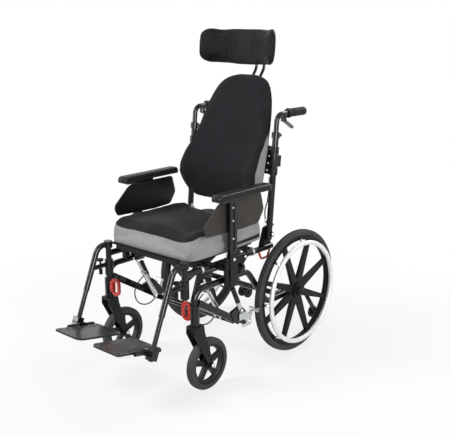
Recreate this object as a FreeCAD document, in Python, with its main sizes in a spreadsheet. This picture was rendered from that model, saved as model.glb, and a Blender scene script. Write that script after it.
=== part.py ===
import FreeCAD, Part
import math
import os

import Sketcher
from FreeCAD import Placement, Rotation, Vector

# Tilt in space wheelchair, in millimetres. +Z is up, the front is towards -Y,
# and the sitter's left is +X. The rear axle stands at Y = stand_y, which puts
# the origin on the floor under the middle of the chair's box.
doc = FreeCAD.newDocument("TiltChair")

# Driving dimensions
SIZES = {
    "stand_y": 0.0,
    # rear wheels
    "tyre_radius": 255.0,
    "tyre_width": 31.0,
    "tyre_depth": 24.0,
    "tyre_round": 11.0,
    "rim_depth": 19.0,
    "rim_width": 25.0,
    "rim_inner_width": 15.0,
    "rim_band": 13.0,
    "wheel_x": 263.0,
    "hub_radius": 31.0,
    "hub_flange": 32.0,
    "hub_end_radius": 19.0,
    "hub_outer": 29.0,
    "hub_inner": 16.5,
    "spokes": 8.0,
    "spoke_root": 34.0,
    "spoke_tip": 17.0,
    "spoke_thick": 15.0,
    "axle_radius": 6.2,
    "run_fit": 0.06,
    "body_gap": 0.5,
    "handrim_radius": 206.0,
    "handrim_tube": 9.5,
    "handrim_reach": 36.0,
    "tab_radius": 5.0,
    # casters
    "caster_radius": 100.0,
    "caster_width": 30.0,
    "caster_depth": 22.0,
    "caster_x": 236.0,
    "stem_y": -570.0,
    "caster_trail": 61.0,
    "fork_gap": 3.0,
    "fork_wall": 5.0,
    "fork_crown": 56.0,
    "fork_rise": 12.0,
    "stem_radius": 9.0,
    "bolt_radius": 5.0,
    "barrel_radius": 17.0,
    "barrel_height": 78.0,
    # base frame
    "side_x": 233.0,
    "tube_radius": 12.0,
    "tube_bore": 9.5,
    "rail_top": 400.0,
    "rail_bend_y": -276.0,
    "rail_low": 240.0,
    "rail_low_y": -154.0,
    "rail_end_y": 40.0,
    "frame_bend": 45.0,
    "bar_size": 26.0,
    "bar_front_z": 352.0,
    "bar_rear_y": -335.0,
    "bar_rear_z": 215.0,
    "lock_plate": 11.0,
    "cross_y": -340.0,
    "cross_z": 212.0,
    "rear_cross_y": -55.0,
    "anti_tip_x": 205.0,
    "anti_tip_tube": 9.4,
    "anti_tip_knee": 110.0,
    "anti_tip_y": 232.0,
    "anti_tip_z": 72.0,
    "roller_radius": 27.0,
    "roller_width": 14.0,
    # tilt pivot and gas springs
    "pivot_y": -310.0,
    "pivot_z": 427.0,
    "pivot_plate": 4.0,
    "spring_x": 180.0,
    "spring_low_y": -365.0,
    "spring_low_z": 222.0,
    "spring_top_y": -478.0,
    "spring_top_z": 418.0,
    "cylinder_length": 150.0,
    "cylinder_radius": 8.8,
    "cylinder_bore": 7.4,
    "piston_rod": 5.0,
    "piston_depth": 34.0,
    "eye_radius": 9.0,
    "eye_width": 7.0,
    "eye_neck": 3.4,
    # wheel locks
    "lock_pivot_y": -335.0,
    "lock_pivot_z": 262.0,
    "lock_grip_radius": 9.0,
    "lock_grip_length": 72.0,
    "shoe_pivot_y": -287.0,
    "shoe_pivot_z": 205.0,
    "shoe_y": -272.0,
    "shoe_z": 252.0,
    "shoe_radius": 8.0,
    "link_thick": 5.0,
    # seat
    "rail_x": 207.0,
    "seat_z": 458.0,
    "seat_front": -590.0,
    "seat_rear": -95.0,
    "post_radius": 11.0,
    "post_low": 366.0,
    "post_top": 500.0,
    "pan_front": -570.0,
    "pan_rear": -222.0,
    "pan_top": 498.0,
    "pan_sheet": 6.0,
    "cushion_half": 231.0,
    "cushion_front": -572.0,
    "cushion_rear": -158.0,
    "cushion_height": 106.0,
    # armrests
    "arm_post_x": 256.5,
    "arm_post_y": -388.0,
    "arm_post_wide": 38.0,
    "arm_post_thick": 15.0,
    "arm_socket_low": 376.0,
    "arm_socket_top": 500.0,
    "arm_pad_x": 252.0,
    "arm_pad_wide": 50.0,
    "arm_pad_high": 25.0,
    "arm_pad_low": 711.0,
    "arm_pad_front": -478.0,
    "arm_pad_rear": -170.0,
    "guard_x": 240.5,
    "guard_thick": 4.0,
    # back
    "cane_x": 218.0,
    "cane_radius": 12.5,
    "cane_lean": 5.4,
    "cane_foot": 23.0,
    "cane_length": 402.0,
    "back_pivot_y": -123.5,
    "back_pivot_z": 515.0,
    "shell_half": 186.0,
    "shell_wall": 4.0,
    "shell_dish": 41.0,
    "shell_low": 130.0,
    "shell_top": 540.0,
    "shell_knee": 240.0,
    "shell_lean": 9.6,
    "handle_tube": 9.9,
    "handle_z": 982.0,
    "handle_end": 96.0,
    "grip_radius": 15.0,
    "grip_start": -12.0,
    "head_z": 1227.0,
    "head_high": 152.0,
    "head_half": 186.0,
    # hangers and footplates
    "hanger_tube": 11.0,
    "hanger_high": 496.0,
    "hanger_bend_y": -641.0,
    "hanger_slope": 67.7,
    "hanger_end_z": 335.0,
    "extension_tube": 9.0,
    "extension_high_z": 440.0,
    "extension_end_z": 190.0,
    "collar_radius": 16.5,
    "arm_bar_z": 415.0,
    "plunger_y": -632.0,
    "foot_hinge_x": 184.0,
    "foot_hinge_y": -756.0,
    "foot_hinge_z": 215.0,
    "foot_toe_up": 11.3,
    "foot_reach": 146.0,
    "foot_front": 130.0,
    "foot_back": 70.0,
    "foot_thick": 7.0,
    # tie-down loops
    "loop_wide": 50.0,
    "loop_high": 72.0,
    "loop_z": 315.0,
    "loop_wire": 8.0,
    "loop_band": 13.0,
}


class Size:
    """A length together with the sheet formula that gives it."""

    def __init__(self, number, formula):
        self.number = float(number)
        self.formula = formula

    def __add__(self, other):
        return Size(self.number + number_of(other), f"({self.formula} + {formula_of(other)})")

    __radd__ = __add__

    def __sub__(self, other):
        return Size(self.number - number_of(other), f"({self.formula} - {formula_of(other)})")

    def __rsub__(self, other):
        return Size(number_of(other) - self.number, f"({formula_of(other)} - {self.formula})")

    def __mul__(self, other):
        return Size(self.number * number_of(other), f"({self.formula} * {formula_of(other)})")

    __rmul__ = __mul__

    def __truediv__(self, other):
        return Size(self.number / number_of(other), f"({self.formula} / {formula_of(other)})")

    def __neg__(self):
        return Size(-self.number, f"(-1 * {self.formula})")


def number_of(value):
    return value.number if isinstance(value, Size) else float(value)


def formula_of(value):
    return value.formula if isinstance(value, Size) else repr(float(value))


def sine(angle):
    return Size(math.sin(math.radians(number_of(angle))), f"sin({formula_of(angle)} * 1 deg)")


def cosine(angle):
    return Size(math.cos(math.radians(number_of(angle))), f"cos({formula_of(angle)} * 1 deg)")


def root(value):
    if not isinstance(value, Size):
        return math.sqrt(value)
    return Size(math.sqrt(value.number), f"sqrt({value.formula})")


sheet = doc.addObject("Spreadsheet::Sheet", "Dims")
for row, (word, value) in enumerate(SIZES.items(), 1):
    sheet.set(f"A{row}", word)
    sheet.set(f"B{row}", str(value))
    sheet.setAlias(f"B{row}", word)
doc.recompute()


class Dimensions:
    """Gives each cell of the sheet as a Size, by its alias."""

    def __getattr__(self, word):
        return Size(sheet.get(word), f"Dims.{word}")


d = Dimensions()


# Points and placements
def vector_of(point):
    return Vector(*(number_of(value) for value in point))


def distance(start, end):
    squares = [(b - a) * (b - a) for a, b in zip(start, end)]
    return root(squares[0] + sum(squares[1:]))


def towards(start, end, length):
    share = length / distance(start, end)
    return tuple(a + (b - a) * share for a, b in zip(start, end))


def bind(item, name, value):
    setattr(item, name, number_of(value))
    if isinstance(value, Size):
        item.setExpression(name, value.formula)


def place(item, point, rotation=None):
    item.Placement = Placement(vector_of(point), rotation or Rotation())
    for axis, value in zip("xyz", point):
        if isinstance(value, Size):
            item.setExpression(f"Placement.Base.{axis}", value.formula)
    return item


NAMES = {}


def fresh(name):
    """A name not used before in the document."""
    NAMES[name] = NAMES.get(name, 0) + 1
    return name if NAMES[name] == 1 else f"{name}_{NAMES[name]}"


# Plain solids
def rod(name, start, end, radius):
    piece = doc.addObject("Part::Cylinder", fresh(name))
    bind(piece, "Radius", radius)
    bind(piece, "Height", distance(start, end))
    return place(piece, start, Rotation(Vector(0, 0, 1), vector_of(end) - vector_of(start)))


def block(name, low, high, rotation=None, corner=None):
    piece = doc.addObject("Part::Box", fresh(name))
    for prop, a, b in zip(("Length", "Width", "Height"), low, high):
        bind(piece, prop, b - a)
    return place(piece, corner or low, rotation)


def joined(name, pieces):
    piece = doc.addObject("Part::MultiFuse", fresh(name))
    piece.Shapes = pieces
    return piece


def cut(name, base, tools):
    piece = doc.addObject("Part::Cut", fresh(name))
    piece.Base = base
    piece.Tool = tools[0] if len(tools) == 1 else joined(f"{name}_tools", tools)
    return piece


def group(name, pieces):
    piece = doc.addObject("Part::Compound", fresh(name))
    piece.Links = pieces
    return piece


def mirrored(name, source):
    piece = doc.addObject("Part::Mirroring", fresh(name))
    piece.Source = source
    piece.Normal = Vector(1, 0, 0)
    piece.Base = Vector(0, 0, 0)
    return piece


def rounded(name, base, radius, chosen):
    """Rounds the edges of base for which chosen(edge) holds."""
    doc.recompute()
    piece = doc.addObject("Part::Fillet", fresh(name))
    piece.Base = base
    size = number_of(radius)
    edges = base.Shape.Edges
    piece.Edges = [(i, size, size) for i, edge in enumerate(edges, 1) if chosen(edge)]
    return piece


def runs_along(axis):
    def test(edge):
        return edge.Curve.TypeId == "Part::GeomLine" and abs(abs(edge.Curve.Direction.dot(axis)) - 1) < 1e-6
    return test


def link(name, start, end, radius, x_low, thick):
    """A flat link with round ends between two (y, z) points, thick along X."""
    rise = number_of(end[1] - start[1])
    run = number_of(end[0] - start[0])
    length = distance(start, end)
    side = tuple((b - a) / length * radius for a, b in zip(start, end))
    corner = (x_low, start[0] + side[1], start[1] - side[0])
    bar = doc.addObject("Part::Box", fresh(f"{name}_bar"))
    bind(bar, "Length", thick)
    bind(bar, "Width", length)
    bind(bar, "Height", radius * 2)
    place(bar, corner, Rotation(Vector(1, 0, 0), math.degrees(math.atan2(rise, run))))
    ends = [
        rod(f"{name}_end", (x_low, point[0], point[1]), (x_low + thick, point[0], point[1]), radius)
        for point in (start, end)
    ]
    return joined(name, [bar] + ends)


# Sketched bodies
def new_body(name):
    return doc.addObject("PartDesign::Body", fresh(name))


def new_sketch(body, role, offset=None):
    sketch = body.newObject("Sketcher::SketchObject", fresh(f"{body.Name}_sketch"))
    plane = next(f for f in body.Origin.OriginFeatures if f.Role == role)
    sketch.AttachmentSupport = [(plane, "")]
    sketch.MapMode = "FlatFace"
    if offset:
        sketch.AttachmentOffset = offset
    return sketch


def hold(sketch, constraint, value):
    index = sketch.addConstraint(constraint)
    if isinstance(value, Size):
        word = f"size{index}"
        sketch.renameConstraint(index, word)
        sketch.setExpression(f"Constraints.{word}", value.formula)


def pin(sketch, curve, end, point):
    """Holds one end of a curve at a point measured from the sketch's origin."""
    axes = (("DistanceX", -2), ("DistanceY", -1))
    for (kind, axis), value in zip(axes, point):
        if abs(number_of(value)) < 1e-9:
            sketch.addConstraint(Sketcher.Constraint("PointOnObject", curve, end, axis))
        else:
            hold(sketch, Sketcher.Constraint(kind, -1, 1, curve, end, number_of(value)), value)


def polygon(sketch, points):
    flat = [Vector(number_of(a), number_of(b), 0) for a, b in points]
    first = sketch.GeometryCount
    count = len(flat)
    for i in range(count):
        sketch.addGeometry(Part.LineSegment(flat[i], flat[(i + 1) % count]), False)
    for i in range(count):
        after = first + (i + 1) % count
        sketch.addConstraint(Sketcher.Constraint("Coincident", first + i, 2, after, 1))
    for i, point in enumerate(points):
        pin(sketch, first + i, 1, point)


def ring(sketch, centre, radius):
    middle = Vector(number_of(centre[0]), number_of(centre[1]), 0)
    curve = sketch.addGeometry(Part.Circle(middle, Vector(0, 0, 1), number_of(radius)), False)
    if abs(middle.x) < 1e-9 and abs(middle.y) < 1e-9:
        sketch.addConstraint(Sketcher.Constraint("Coincident", curve, 3, -1, 1))
    else:
        pin(sketch, curve, 3, centre)
    hold(sketch, Sketcher.Constraint("Radius", curve, number_of(radius)), radius)


def corner_arc(before, corner, after, size):
    """The arc that rounds a corner, where it meets both runs, and its end on the first run."""
    back = (before - corner).normalize()
    ahead = (after - corner).normalize()
    half = back.getAngle(ahead) / 2
    centre = corner + (back + ahead).normalize() * (size / math.sin(half))
    stop = corner + back * (size / math.tan(half))
    start = corner + ahead * (size / math.tan(half))
    left_turn = ahead.cross(back).z > 0
    ends = (stop, start) if left_turn else (start, stop)
    low, high = (math.atan2(end.y - centre.y, end.x - centre.x) for end in ends)
    high += 2 * math.pi * (high < low)
    arc = Part.ArcOfCircle(Part.Circle(centre, Vector(0, 0, 1), size), low, high)
    return arc, stop, start, 1 if left_turn else 2


def round_corner(sketch, arc, head, before, after, bend, corner, point):
    """Adds the arc between two lines, tangent to both, with the corner point held."""
    curve = sketch.addGeometry(arc, False)
    sketch.addConstraint(Sketcher.Constraint("Tangent", before, 2, curve, head))
    sketch.addConstraint(Sketcher.Constraint("Tangent", after, 1, curve, 3 - head))
    hold(sketch, Sketcher.Constraint("Radius", curve, number_of(bend)), bend)
    mark = sketch.addGeometry(Part.Point(corner), True)
    pin(sketch, mark, 1, point)
    sketch.addConstraint(Sketcher.Constraint("PointOnObject", mark, 1, before))
    sketch.addConstraint(Sketcher.Constraint("PointOnObject", mark, 1, after))


def bent_line(sketch, points, bends):
    """Straight runs joined by tangent arcs of the bend radii at the inner points."""
    flat = [Vector(number_of(a), number_of(b), 0) for a, b in points]
    turns = [corner_arc(*flat[i:i + 3], number_of(bend)) for i, bend in enumerate(bends)]
    starts = [flat[0]] + [turn[2] for turn in turns]
    stops = [turn[1] for turn in turns] + [flat[-1]]
    lines = [sketch.addGeometry(Part.LineSegment(a, b), False) for a, b in zip(starts, stops)]
    for i, (turn, bend) in enumerate(zip(turns, bends)):
        round_corner(sketch, turn[0], turn[3], lines[i], lines[i + 1], bend, flat[i + 1], points[i + 1])
    pin(sketch, lines[0], 1, points[0])
    pin(sketch, lines[-1], 2, points[-1])


def bent_closed(sketch, corners):
    """A closed outline of (point, bend radius) corners."""
    flat = [Vector(number_of(a), number_of(b), 0) for (a, b), _ in corners]
    count = len(flat)
    turns = [
        corner_arc(flat[i - 1], flat[i], flat[(i + 1) % count], number_of(corners[i][1]))
        for i in range(count)
    ]
    lines = [
        sketch.addGeometry(Part.LineSegment(turns[i - 1][2], turns[i][1]), False) for i in range(count)
    ]
    for i, (point, bend) in enumerate(corners):
        round_corner(sketch, turns[i][0], turns[i][3], lines[i], lines[(i + 1) % count], bend, flat[i], point)


def bent_tube(name, x, points, bends, radius, bore=None):
    """A tube in a plane of constant x, through (y, z) points with round bends."""
    body = new_body(name)
    rise = number_of(points[1][1] - points[0][1])
    run = number_of(points[1][0] - points[0][0])
    turn = Rotation(Vector(1, 0, 0), -math.degrees(math.atan2(run, rise)))
    start = (0, points[0][0], points[0][1])
    section = new_sketch(body, "XY_Plane", Placement(vector_of(start), turn))
    for axis, value in zip("yz", points[0]):
        if isinstance(value, Size):
            section.setExpression(f"AttachmentOffset.Base.{axis}", value.formula)
    ring(section, (0, 0), radius)
    if bore:
        ring(section, (0, 0), bore)
    route = new_sketch(body, "YZ_Plane")
    bent_line(route, points, bends)
    doc.recompute()
    pipe = body.newObject("PartDesign::AdditivePipe", fresh(f"{name}_pipe"))
    pipe.Profile = section
    pipe.Spine = (route, [f"Edge{i}" for i in range(1, len(route.Shape.Edges) + 1)])
    body.Tip = pipe
    place(body, (x, 0, 0))
    return body


def pad(body, sketch, length, both_ways=False):
    feature = body.newObject("PartDesign::Pad", fresh(f"{body.Name}_pad"))
    feature.Profile = sketch
    bind(feature, "Length", length)
    if both_ways:
        feature.SideType = "Symmetric"
    body.Tip = feature
    return feature


def plate(name, points, x_low, thick):
    """A flat plate with a straight-sided (y, z) outline, thick along X."""
    body = new_body(name)
    outline = new_sketch(body, "YZ_Plane")
    polygon(outline, points)
    pad(body, outline, thick)
    place(body, (x_low, 0, 0))
    return body


def turned(body, points):
    """A ring turned about the body's X axis from an (x, radius) outline."""
    outline = new_sketch(body, "XY_Plane")
    polygon(outline, points)
    feature = body.newObject("PartDesign::Revolution", fresh(f"{body.Name}_turn"))
    feature.Profile = outline
    feature.ReferenceAxis = (outline, ["H_Axis"])
    feature.Angle = 360
    body.Tip = feature
    return feature


def round_rims(body, base, radius, rim_radius):
    """Rounds the circular edges of a turned ring that lie at rim_radius."""
    doc.recompute()
    feature = body.newObject("PartDesign::Fillet", fresh(f"{body.Name}_round"))
    names = [
        f"Edge{i}" for i, edge in enumerate(base.Shape.Edges, 1)
        if edge.Curve.TypeId == "Part::GeomCircle" and abs(edge.Curve.Radius - number_of(rim_radius)) < 1e-4
    ]
    feature.Base = (base, names)
    bind(feature, "Radius", radius)
    body.Tip = feature
    return feature


def spoked(body, root_radius, tip_radius, root_width, tip_width, thick, count):
    """Tapered spokes along the body's Z axis, repeated round its X axis."""
    outline = new_sketch(body, "YZ_Plane")
    polygon(outline, [
        (-root_width / 2, root_radius),
        (-tip_width / 2, tip_radius),
        (tip_width / 2, tip_radius),
        (root_width / 2, root_radius),
    ])
    spoke = pad(body, outline, thick, both_ways=True)
    pattern = body.newObject("PartDesign::PolarPattern", fresh(f"{body.Name}_spokes"))
    pattern.Originals = [spoke]
    pattern.Axis = (next(f for f in body.Origin.OriginFeatures if f.Role == "X_Axis"), [""])
    pattern.Angle = 360
    pattern.Occurrences = int(number_of(count))
    body.Tip = pattern
    doc.recompute()


PARTS = {}


def node(label, item):
    """Makes item the sub-part called label and stands it in the chair's frame."""
    item.Label = label
    base = item.Placement.Base
    formula = next((f for path, f in item.ExpressionEngine if path.endswith("Base.y")), repr(base.y))
    item.setExpression("Placement.Base.y", f"({formula}) + Dims.stand_y")
    PARTS[label] = item
    return item


def pair(label, item):
    """Makes item the left sub-part and its mirror image the right one."""
    left = node(f"{label}_left", item)
    right = mirrored(f"{label}_mirror", left)
    right.Label = f"{label}_right"
    PARTS[right.Label] = right


# Rear wheels
rim_seat = d.tyre_radius - d.tyre_depth
rim_inner = rim_seat - d.rim_depth


def rear_tyre():
    body = new_body("rear_tyre")
    half = d.tyre_width / 2
    tread = turned(body, [(-half, rim_seat), (half, rim_seat), (half, d.tyre_radius), (-half, d.tyre_radius)])
    round_rims(body, tread, d.tyre_round, d.tyre_radius)
    place(body, (d.wheel_x, 0, d.tyre_radius))
    pair("rear_tyre", body)


def rear_rim():
    """The moulded wheel: hub, eight tapered spokes and rim, on its quick-release axle."""
    body = new_body("mag_wheel")
    flange = d.hub_flange / 2
    end = d.hub_outer
    bore = d.axle_radius + d.run_fit
    turned(body, [
        (-d.hub_inner, bore), (end, bore), (end, d.hub_end_radius), (flange, d.hub_end_radius),
        (flange, d.hub_radius), (-flange, d.hub_radius), (-d.hub_inner, d.hub_end_radius),
    ])
    spoked(body, d.hub_radius - 6, rim_inner + 3, d.spoke_root, d.spoke_tip, d.spoke_thick, d.spokes)
    wide = d.rim_width / 2
    narrow = d.rim_inner_width / 2
    band = rim_seat - d.rim_band
    turned(body, [(-wide, rim_seat), (wide, rim_seat), (wide, band), (narrow, rim_inner),
                  (-narrow, rim_inner), (-wide, band)])
    place(body, (d.wheel_x, 0, d.tyre_radius), Rotation(Vector(1, 0, 0), 180 / number_of(d.spokes)))
    outer = d.wheel_x + end
    inner = d.side_x - d.tube_radius - 6
    axle = joined("axle", [
        rod("axle_pin", (inner, 0, d.tyre_radius), (outer + 1, 0, d.tyre_radius), d.axle_radius),
        rod("axle_cap", (outer + d.body_gap, 0, d.tyre_radius), (outer + 6, 0, d.tyre_radius),
            d.axle_radius + 4),
    ])
    pair("rear_rim", group("rear_rim", [body, axle]))


def handrim():
    """The push ring, on tabs that stand on the rim's outer face between the spokes."""
    face = d.wheel_x + d.rim_width / 2
    centre_x = d.wheel_x + d.handrim_reach
    hoop = doc.addObject("Part::Torus", "hoop")
    bind(hoop, "Radius1", d.handrim_radius)
    bind(hoop, "Radius2", d.handrim_tube)
    place(hoop, (centre_x, 0, d.tyre_radius), Rotation(Vector(0, 1, 0), 90))
    pieces = [hoop]
    foot_radius = rim_seat - d.rim_band / 2
    for i in range(int(number_of(d.spokes))):
        angle = i * 360 / number_of(d.spokes)
        c, s = math.cos(math.radians(angle)), math.sin(math.radians(angle))
        foot = (face, foot_radius * c, d.tyre_radius + foot_radius * s)
        knee = (face + 5, foot_radius * c, d.tyre_radius + foot_radius * s)
        top = (centre_x, d.handrim_radius * c, d.tyre_radius + d.handrim_radius * s)
        pieces.append(rod("tab_foot", foot, knee, d.tab_radius + 1))
        pieces.append(rod("tab", towards(knee, top, 0.5 - d.tab_radius / 3), top, d.tab_radius))
    pair("handrim", joined("handrim", pieces))


# Casters
fork_top = d.caster_radius * 2 + d.fork_rise + d.fork_crown
barrel_low = fork_top + d.body_gap
barrel_top = barrel_low + d.barrel_height


def caster_fork():
    """Swivelling fork with its stem, and the silver bolt that carries the wheel."""
    body = new_body("fork")
    outline = new_sketch(body, "YZ_Plane")
    slot_top = fork_top - d.fork_wall * 2
    shoulder = d.caster_radius * 2 + d.fork_rise + d.fork_crown / 2
    polygon(outline, [
        (-22, fork_top), (24, fork_top), (28, shoulder), (d.caster_trail + 12, d.caster_radius),
        (d.caster_trail + 7, d.caster_radius - 12), (d.caster_trail - 7, d.caster_radius - 12),
        (d.caster_trail - 13, d.caster_radius + 3), (-24, shoulder),
    ])
    wide = d.caster_width + d.fork_gap * 2
    pad(body, outline, wide + d.fork_wall * 2, both_ways=True)
    doc.recompute()
    slot = new_sketch(body, "XZ_Plane")
    polygon(slot, [(-wide / 2, 20), (wide / 2, 20), (wide / 2, slot_top), (-wide / 2, slot_top)])
    pocket = body.newObject("PartDesign::Pocket", "fork_slot")
    pocket.Profile = slot
    pocket.Type = "ThroughAll"
    pocket.SideType = "Symmetric"
    body.Tip = pocket
    doc.recompute()
    place(body, (d.caster_x, d.stem_y, 0))
    stem = rod("stem", (d.caster_x, d.stem_y, fork_top - 2), (d.caster_x, d.stem_y, barrel_top - 8),
               d.stem_radius)
    half = wide / 2 + d.fork_wall
    axle_y = d.stem_y + d.caster_trail
    left, right = d.caster_x + half, d.caster_x - half
    hole = rod("fork_hole", (right - 1, axle_y, d.caster_radius), (left + 1, axle_y, d.caster_radius),
               d.bolt_radius)
    bolt = joined("caster_bolt", [
        rod("shank", (right, axle_y, d.caster_radius), (left, axle_y, d.caster_radius), d.bolt_radius),
        rod("head", (left, axle_y, d.caster_radius), (left + 5, axle_y, d.caster_radius), d.bolt_radius + 4),
        rod("nut", (right - 5, axle_y, d.caster_radius), (right, axle_y, d.caster_radius), d.bolt_radius + 4),
    ])
    fork = cut("fork_cut", joined("fork_body", [body, stem]), [hole])
    pair("caster_fork", group("caster_fork", [fork, bolt]))


def caster_wheel():
    """Solid tyre on a five-spoke hub."""
    tyre = new_body("caster_tyre")
    half = d.caster_width / 2
    seat = d.caster_radius - d.caster_depth
    tread = turned(tyre, [(-half, seat), (half, seat), (half, d.caster_radius), (-half, d.caster_radius)])
    round_rims(tyre, tread, 9, d.caster_radius)
    hub = new_body("caster_hub")
    bore = d.bolt_radius + d.run_fit
    turned(hub, [(-half, bore), (half, bore), (half, 17), (-half, 17)])
    spoked(hub, 14, seat - 9, 22, 20, 14, 5)
    turned(hub, [(-11, seat), (11, seat), (11, seat - 7), (7, seat - 12), (-7, seat - 12), (-11, seat - 7)])
    centre = (d.caster_x, d.stem_y + d.caster_trail, d.caster_radius)
    place(tyre, centre)
    place(hub, centre)
    pair("caster_wheel", group("caster_wheel", [tyre, hub]))


# Base frame
def side_frame():
    """Bent side tube with the caster barrel, axle sleeve and tilt pivot ear welded on."""
    tube = bent_tube("side_tube", d.side_x, [
        (d.stem_y, barrel_top - 6), (d.stem_y, d.rail_top), (d.rail_bend_y, d.rail_top),
        (d.rail_low_y, d.rail_low), (d.rail_end_y, d.rail_low),
    ], [d.frame_bend, d.frame_bend + 5, d.frame_bend + 10], d.tube_radius, d.tube_bore)
    barrel = rod("barrel", (d.caster_x, d.stem_y, barrel_low), (d.caster_x, d.stem_y, barrel_top),
                 d.barrel_radius)
    bore = rod("barrel_bore", (d.caster_x, d.stem_y, barrel_low - 1), (d.caster_x, d.stem_y, barrel_top - 7),
               d.stem_radius + d.run_fit)
    inner = d.side_x - d.tube_radius - 4
    outer = d.wheel_x - d.hub_inner - d.body_gap
    sleeve = rod("sleeve", (inner, 0, d.tyre_radius), (outer, 0, d.tyre_radius), d.axle_radius + 8)
    sleeve_bore = rod("sleeve_bore", (inner - 1, 0, d.tyre_radius), (outer + 1, 0, d.tyre_radius),
                      d.axle_radius + d.run_fit)
    ear_in = d.rail_x + d.tube_radius + d.pivot_plate + d.body_gap
    ear_out = d.side_x + d.tube_radius - 4
    ear = joined("ear", [
        block("ear_foot", (ear_in, d.pivot_y - 12, d.rail_top + 4), (ear_out, d.pivot_y + 12, d.pivot_z)),
        rod("ear_round", (ear_in, d.pivot_y, d.pivot_z), (ear_out, d.pivot_y, d.pivot_z), 12),
    ])
    pivot_hole = rod("pivot_hole", (ear_in - 1, d.pivot_y, d.pivot_z), (ear_out + 1, d.pivot_y, d.pivot_z),
                     d.bolt_radius)
    frame = cut("side_weld", joined("side_parts", [tube, barrel, sleeve, ear]),
                [bore, sleeve_bore, pivot_hole])
    nut_in = d.rail_x + d.tube_radius - 5
    pivot_bolt = joined("pivot_bolt", [
        rod("pivot_shank", (nut_in, d.pivot_y, d.pivot_z), (ear_out, d.pivot_y, d.pivot_z), d.bolt_radius),
        rod("pivot_head", (ear_out, d.pivot_y, d.pivot_z), (ear_out + 5, d.pivot_y, d.pivot_z), 8),
        rod("pivot_nut", (nut_in, d.pivot_y, d.pivot_z), (nut_in + 4.5, d.pivot_y, d.pivot_z), 8),
    ])
    pair("side_frame", group("side_frame", [frame, pivot_bolt]))


def lower_bar():
    """Square bar from the caster barrel down to the wheel-lock plate."""
    start = (d.stem_y + 14, d.bar_front_z)
    end = (d.bar_rear_y, d.bar_rear_z)
    length = distance(start, end)
    rise, run = number_of(end[1] - start[1]), number_of(end[0] - start[0])
    half = d.bar_size / 2
    side = tuple((b - a) / length * half for a, b in zip(start, end))
    bar = doc.addObject("Part::Box", "bar")
    bind(bar, "Length", d.bar_size)
    bind(bar, "Width", length)
    bind(bar, "Height", d.bar_size)
    corner = (d.side_x - half, start[0] + side[1], start[1] - side[0])
    place(bar, corner, Rotation(Vector(1, 0, 0), math.degrees(math.atan2(rise, run))))
    outline = [(-385, 266), (-333, 280), (-312, 262), (-274, 216), (-276, 196), (-300, 192), (-374, 226)]
    base_y, base_z = -335, 215
    shape = plate("lock_plate", [(d.bar_rear_y + (y - base_y), d.bar_rear_z + (z - base_z)) for y,
                                 z in outline],
                  d.side_x + 5, d.lock_plate)
    face = d.side_x + 5 + d.lock_plate
    pins = [
        rod("lock_pin", (face - 5, y, z), (face + d.link_thick + 3, y, z), 4)
        for y, z in ((d.lock_pivot_y, d.lock_pivot_z), (d.shoe_pivot_y, d.shoe_pivot_z))
    ]
    relief = rod("barrel_relief", (d.caster_x, d.stem_y, barrel_low - 9),
                 (d.caster_x, d.stem_y, barrel_top + 90),
                 d.barrel_radius)
    bar = cut("lower_bar", joined("bar_parts", [bar, shape] + pins), [relief])
    node("lower_bars", group("lower_bars", [bar, mirrored("bar_mirror", bar)]))


spring_in = d.spring_x - d.eye_width / 2
spring_out = d.spring_x + d.eye_width / 2
ear_gap = 0.6
ear_wall = 4


def spring_ears(name, root_point, eye):
    """Two ears and a pin that hold one eye of a gas spring."""
    return [
        link(f"{name}_in", root_point, eye, 8, spring_in - ear_gap - ear_wall, ear_wall),
        link(f"{name}_out", root_point, eye, 8, spring_out + ear_gap, ear_wall),
        rod(f"{name}_pin", (spring_in - ear_gap - ear_wall - 2, eye[0], eye[1]),
            (spring_out + ear_gap + ear_wall + 2, eye[0], eye[1]), d.piston_rod),
    ]


def both_sides(pieces):
    return pieces + [mirrored(f"{piece.Name}_mirror", piece) for piece in pieces]


def cross_tubes():
    """Lower cross tube with the gas spring ears, and rear cross tube with the anti-tip sockets."""
    reach = d.side_x - d.bar_size / 2
    low = rod("low_cross", (-reach, d.cross_y, d.cross_z), (reach, d.cross_y, d.cross_z), d.tube_radius)
    ears = spring_ears("low_ear", (d.cross_y, d.cross_z), (d.spring_low_y, d.spring_low_z))
    front = joined("lower_cross_tube", [low] + both_sides(ears))
    reach = d.side_x - d.tube_radius + 0.7
    rear = rod("rear_cross", (-reach, d.rear_cross_y, d.rail_low), (reach, d.rear_cross_y, d.rail_low),
               d.tube_radius)
    socket = rod("tip_socket", (d.anti_tip_x, d.rear_cross_y - 15, d.rail_low),
                 (d.anti_tip_x, d.rear_cross_y + 110, d.rail_low), d.tube_radius)
    bore = rod("tip_bore", (d.anti_tip_x, d.rear_cross_y - 16, d.rail_low),
               (d.anti_tip_x, d.rear_cross_y + 111, d.rail_low), d.anti_tip_tube + d.run_fit)
    frames = []
    for side in (-1, 1):
        frames.append(rod("frame_relief", (side * d.side_x, d.rear_cross_y - 30, d.rail_low),
                          (side * d.side_x, d.rear_cross_y + 30, d.rail_low), d.tube_radius))
    weld = cut("rear_cross_tube", joined("rear_parts", [rear] + both_sides([socket])),
               both_sides([bore]) + frames)
    node("cross_tubes", group("cross_tubes", [front, weld]))


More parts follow.
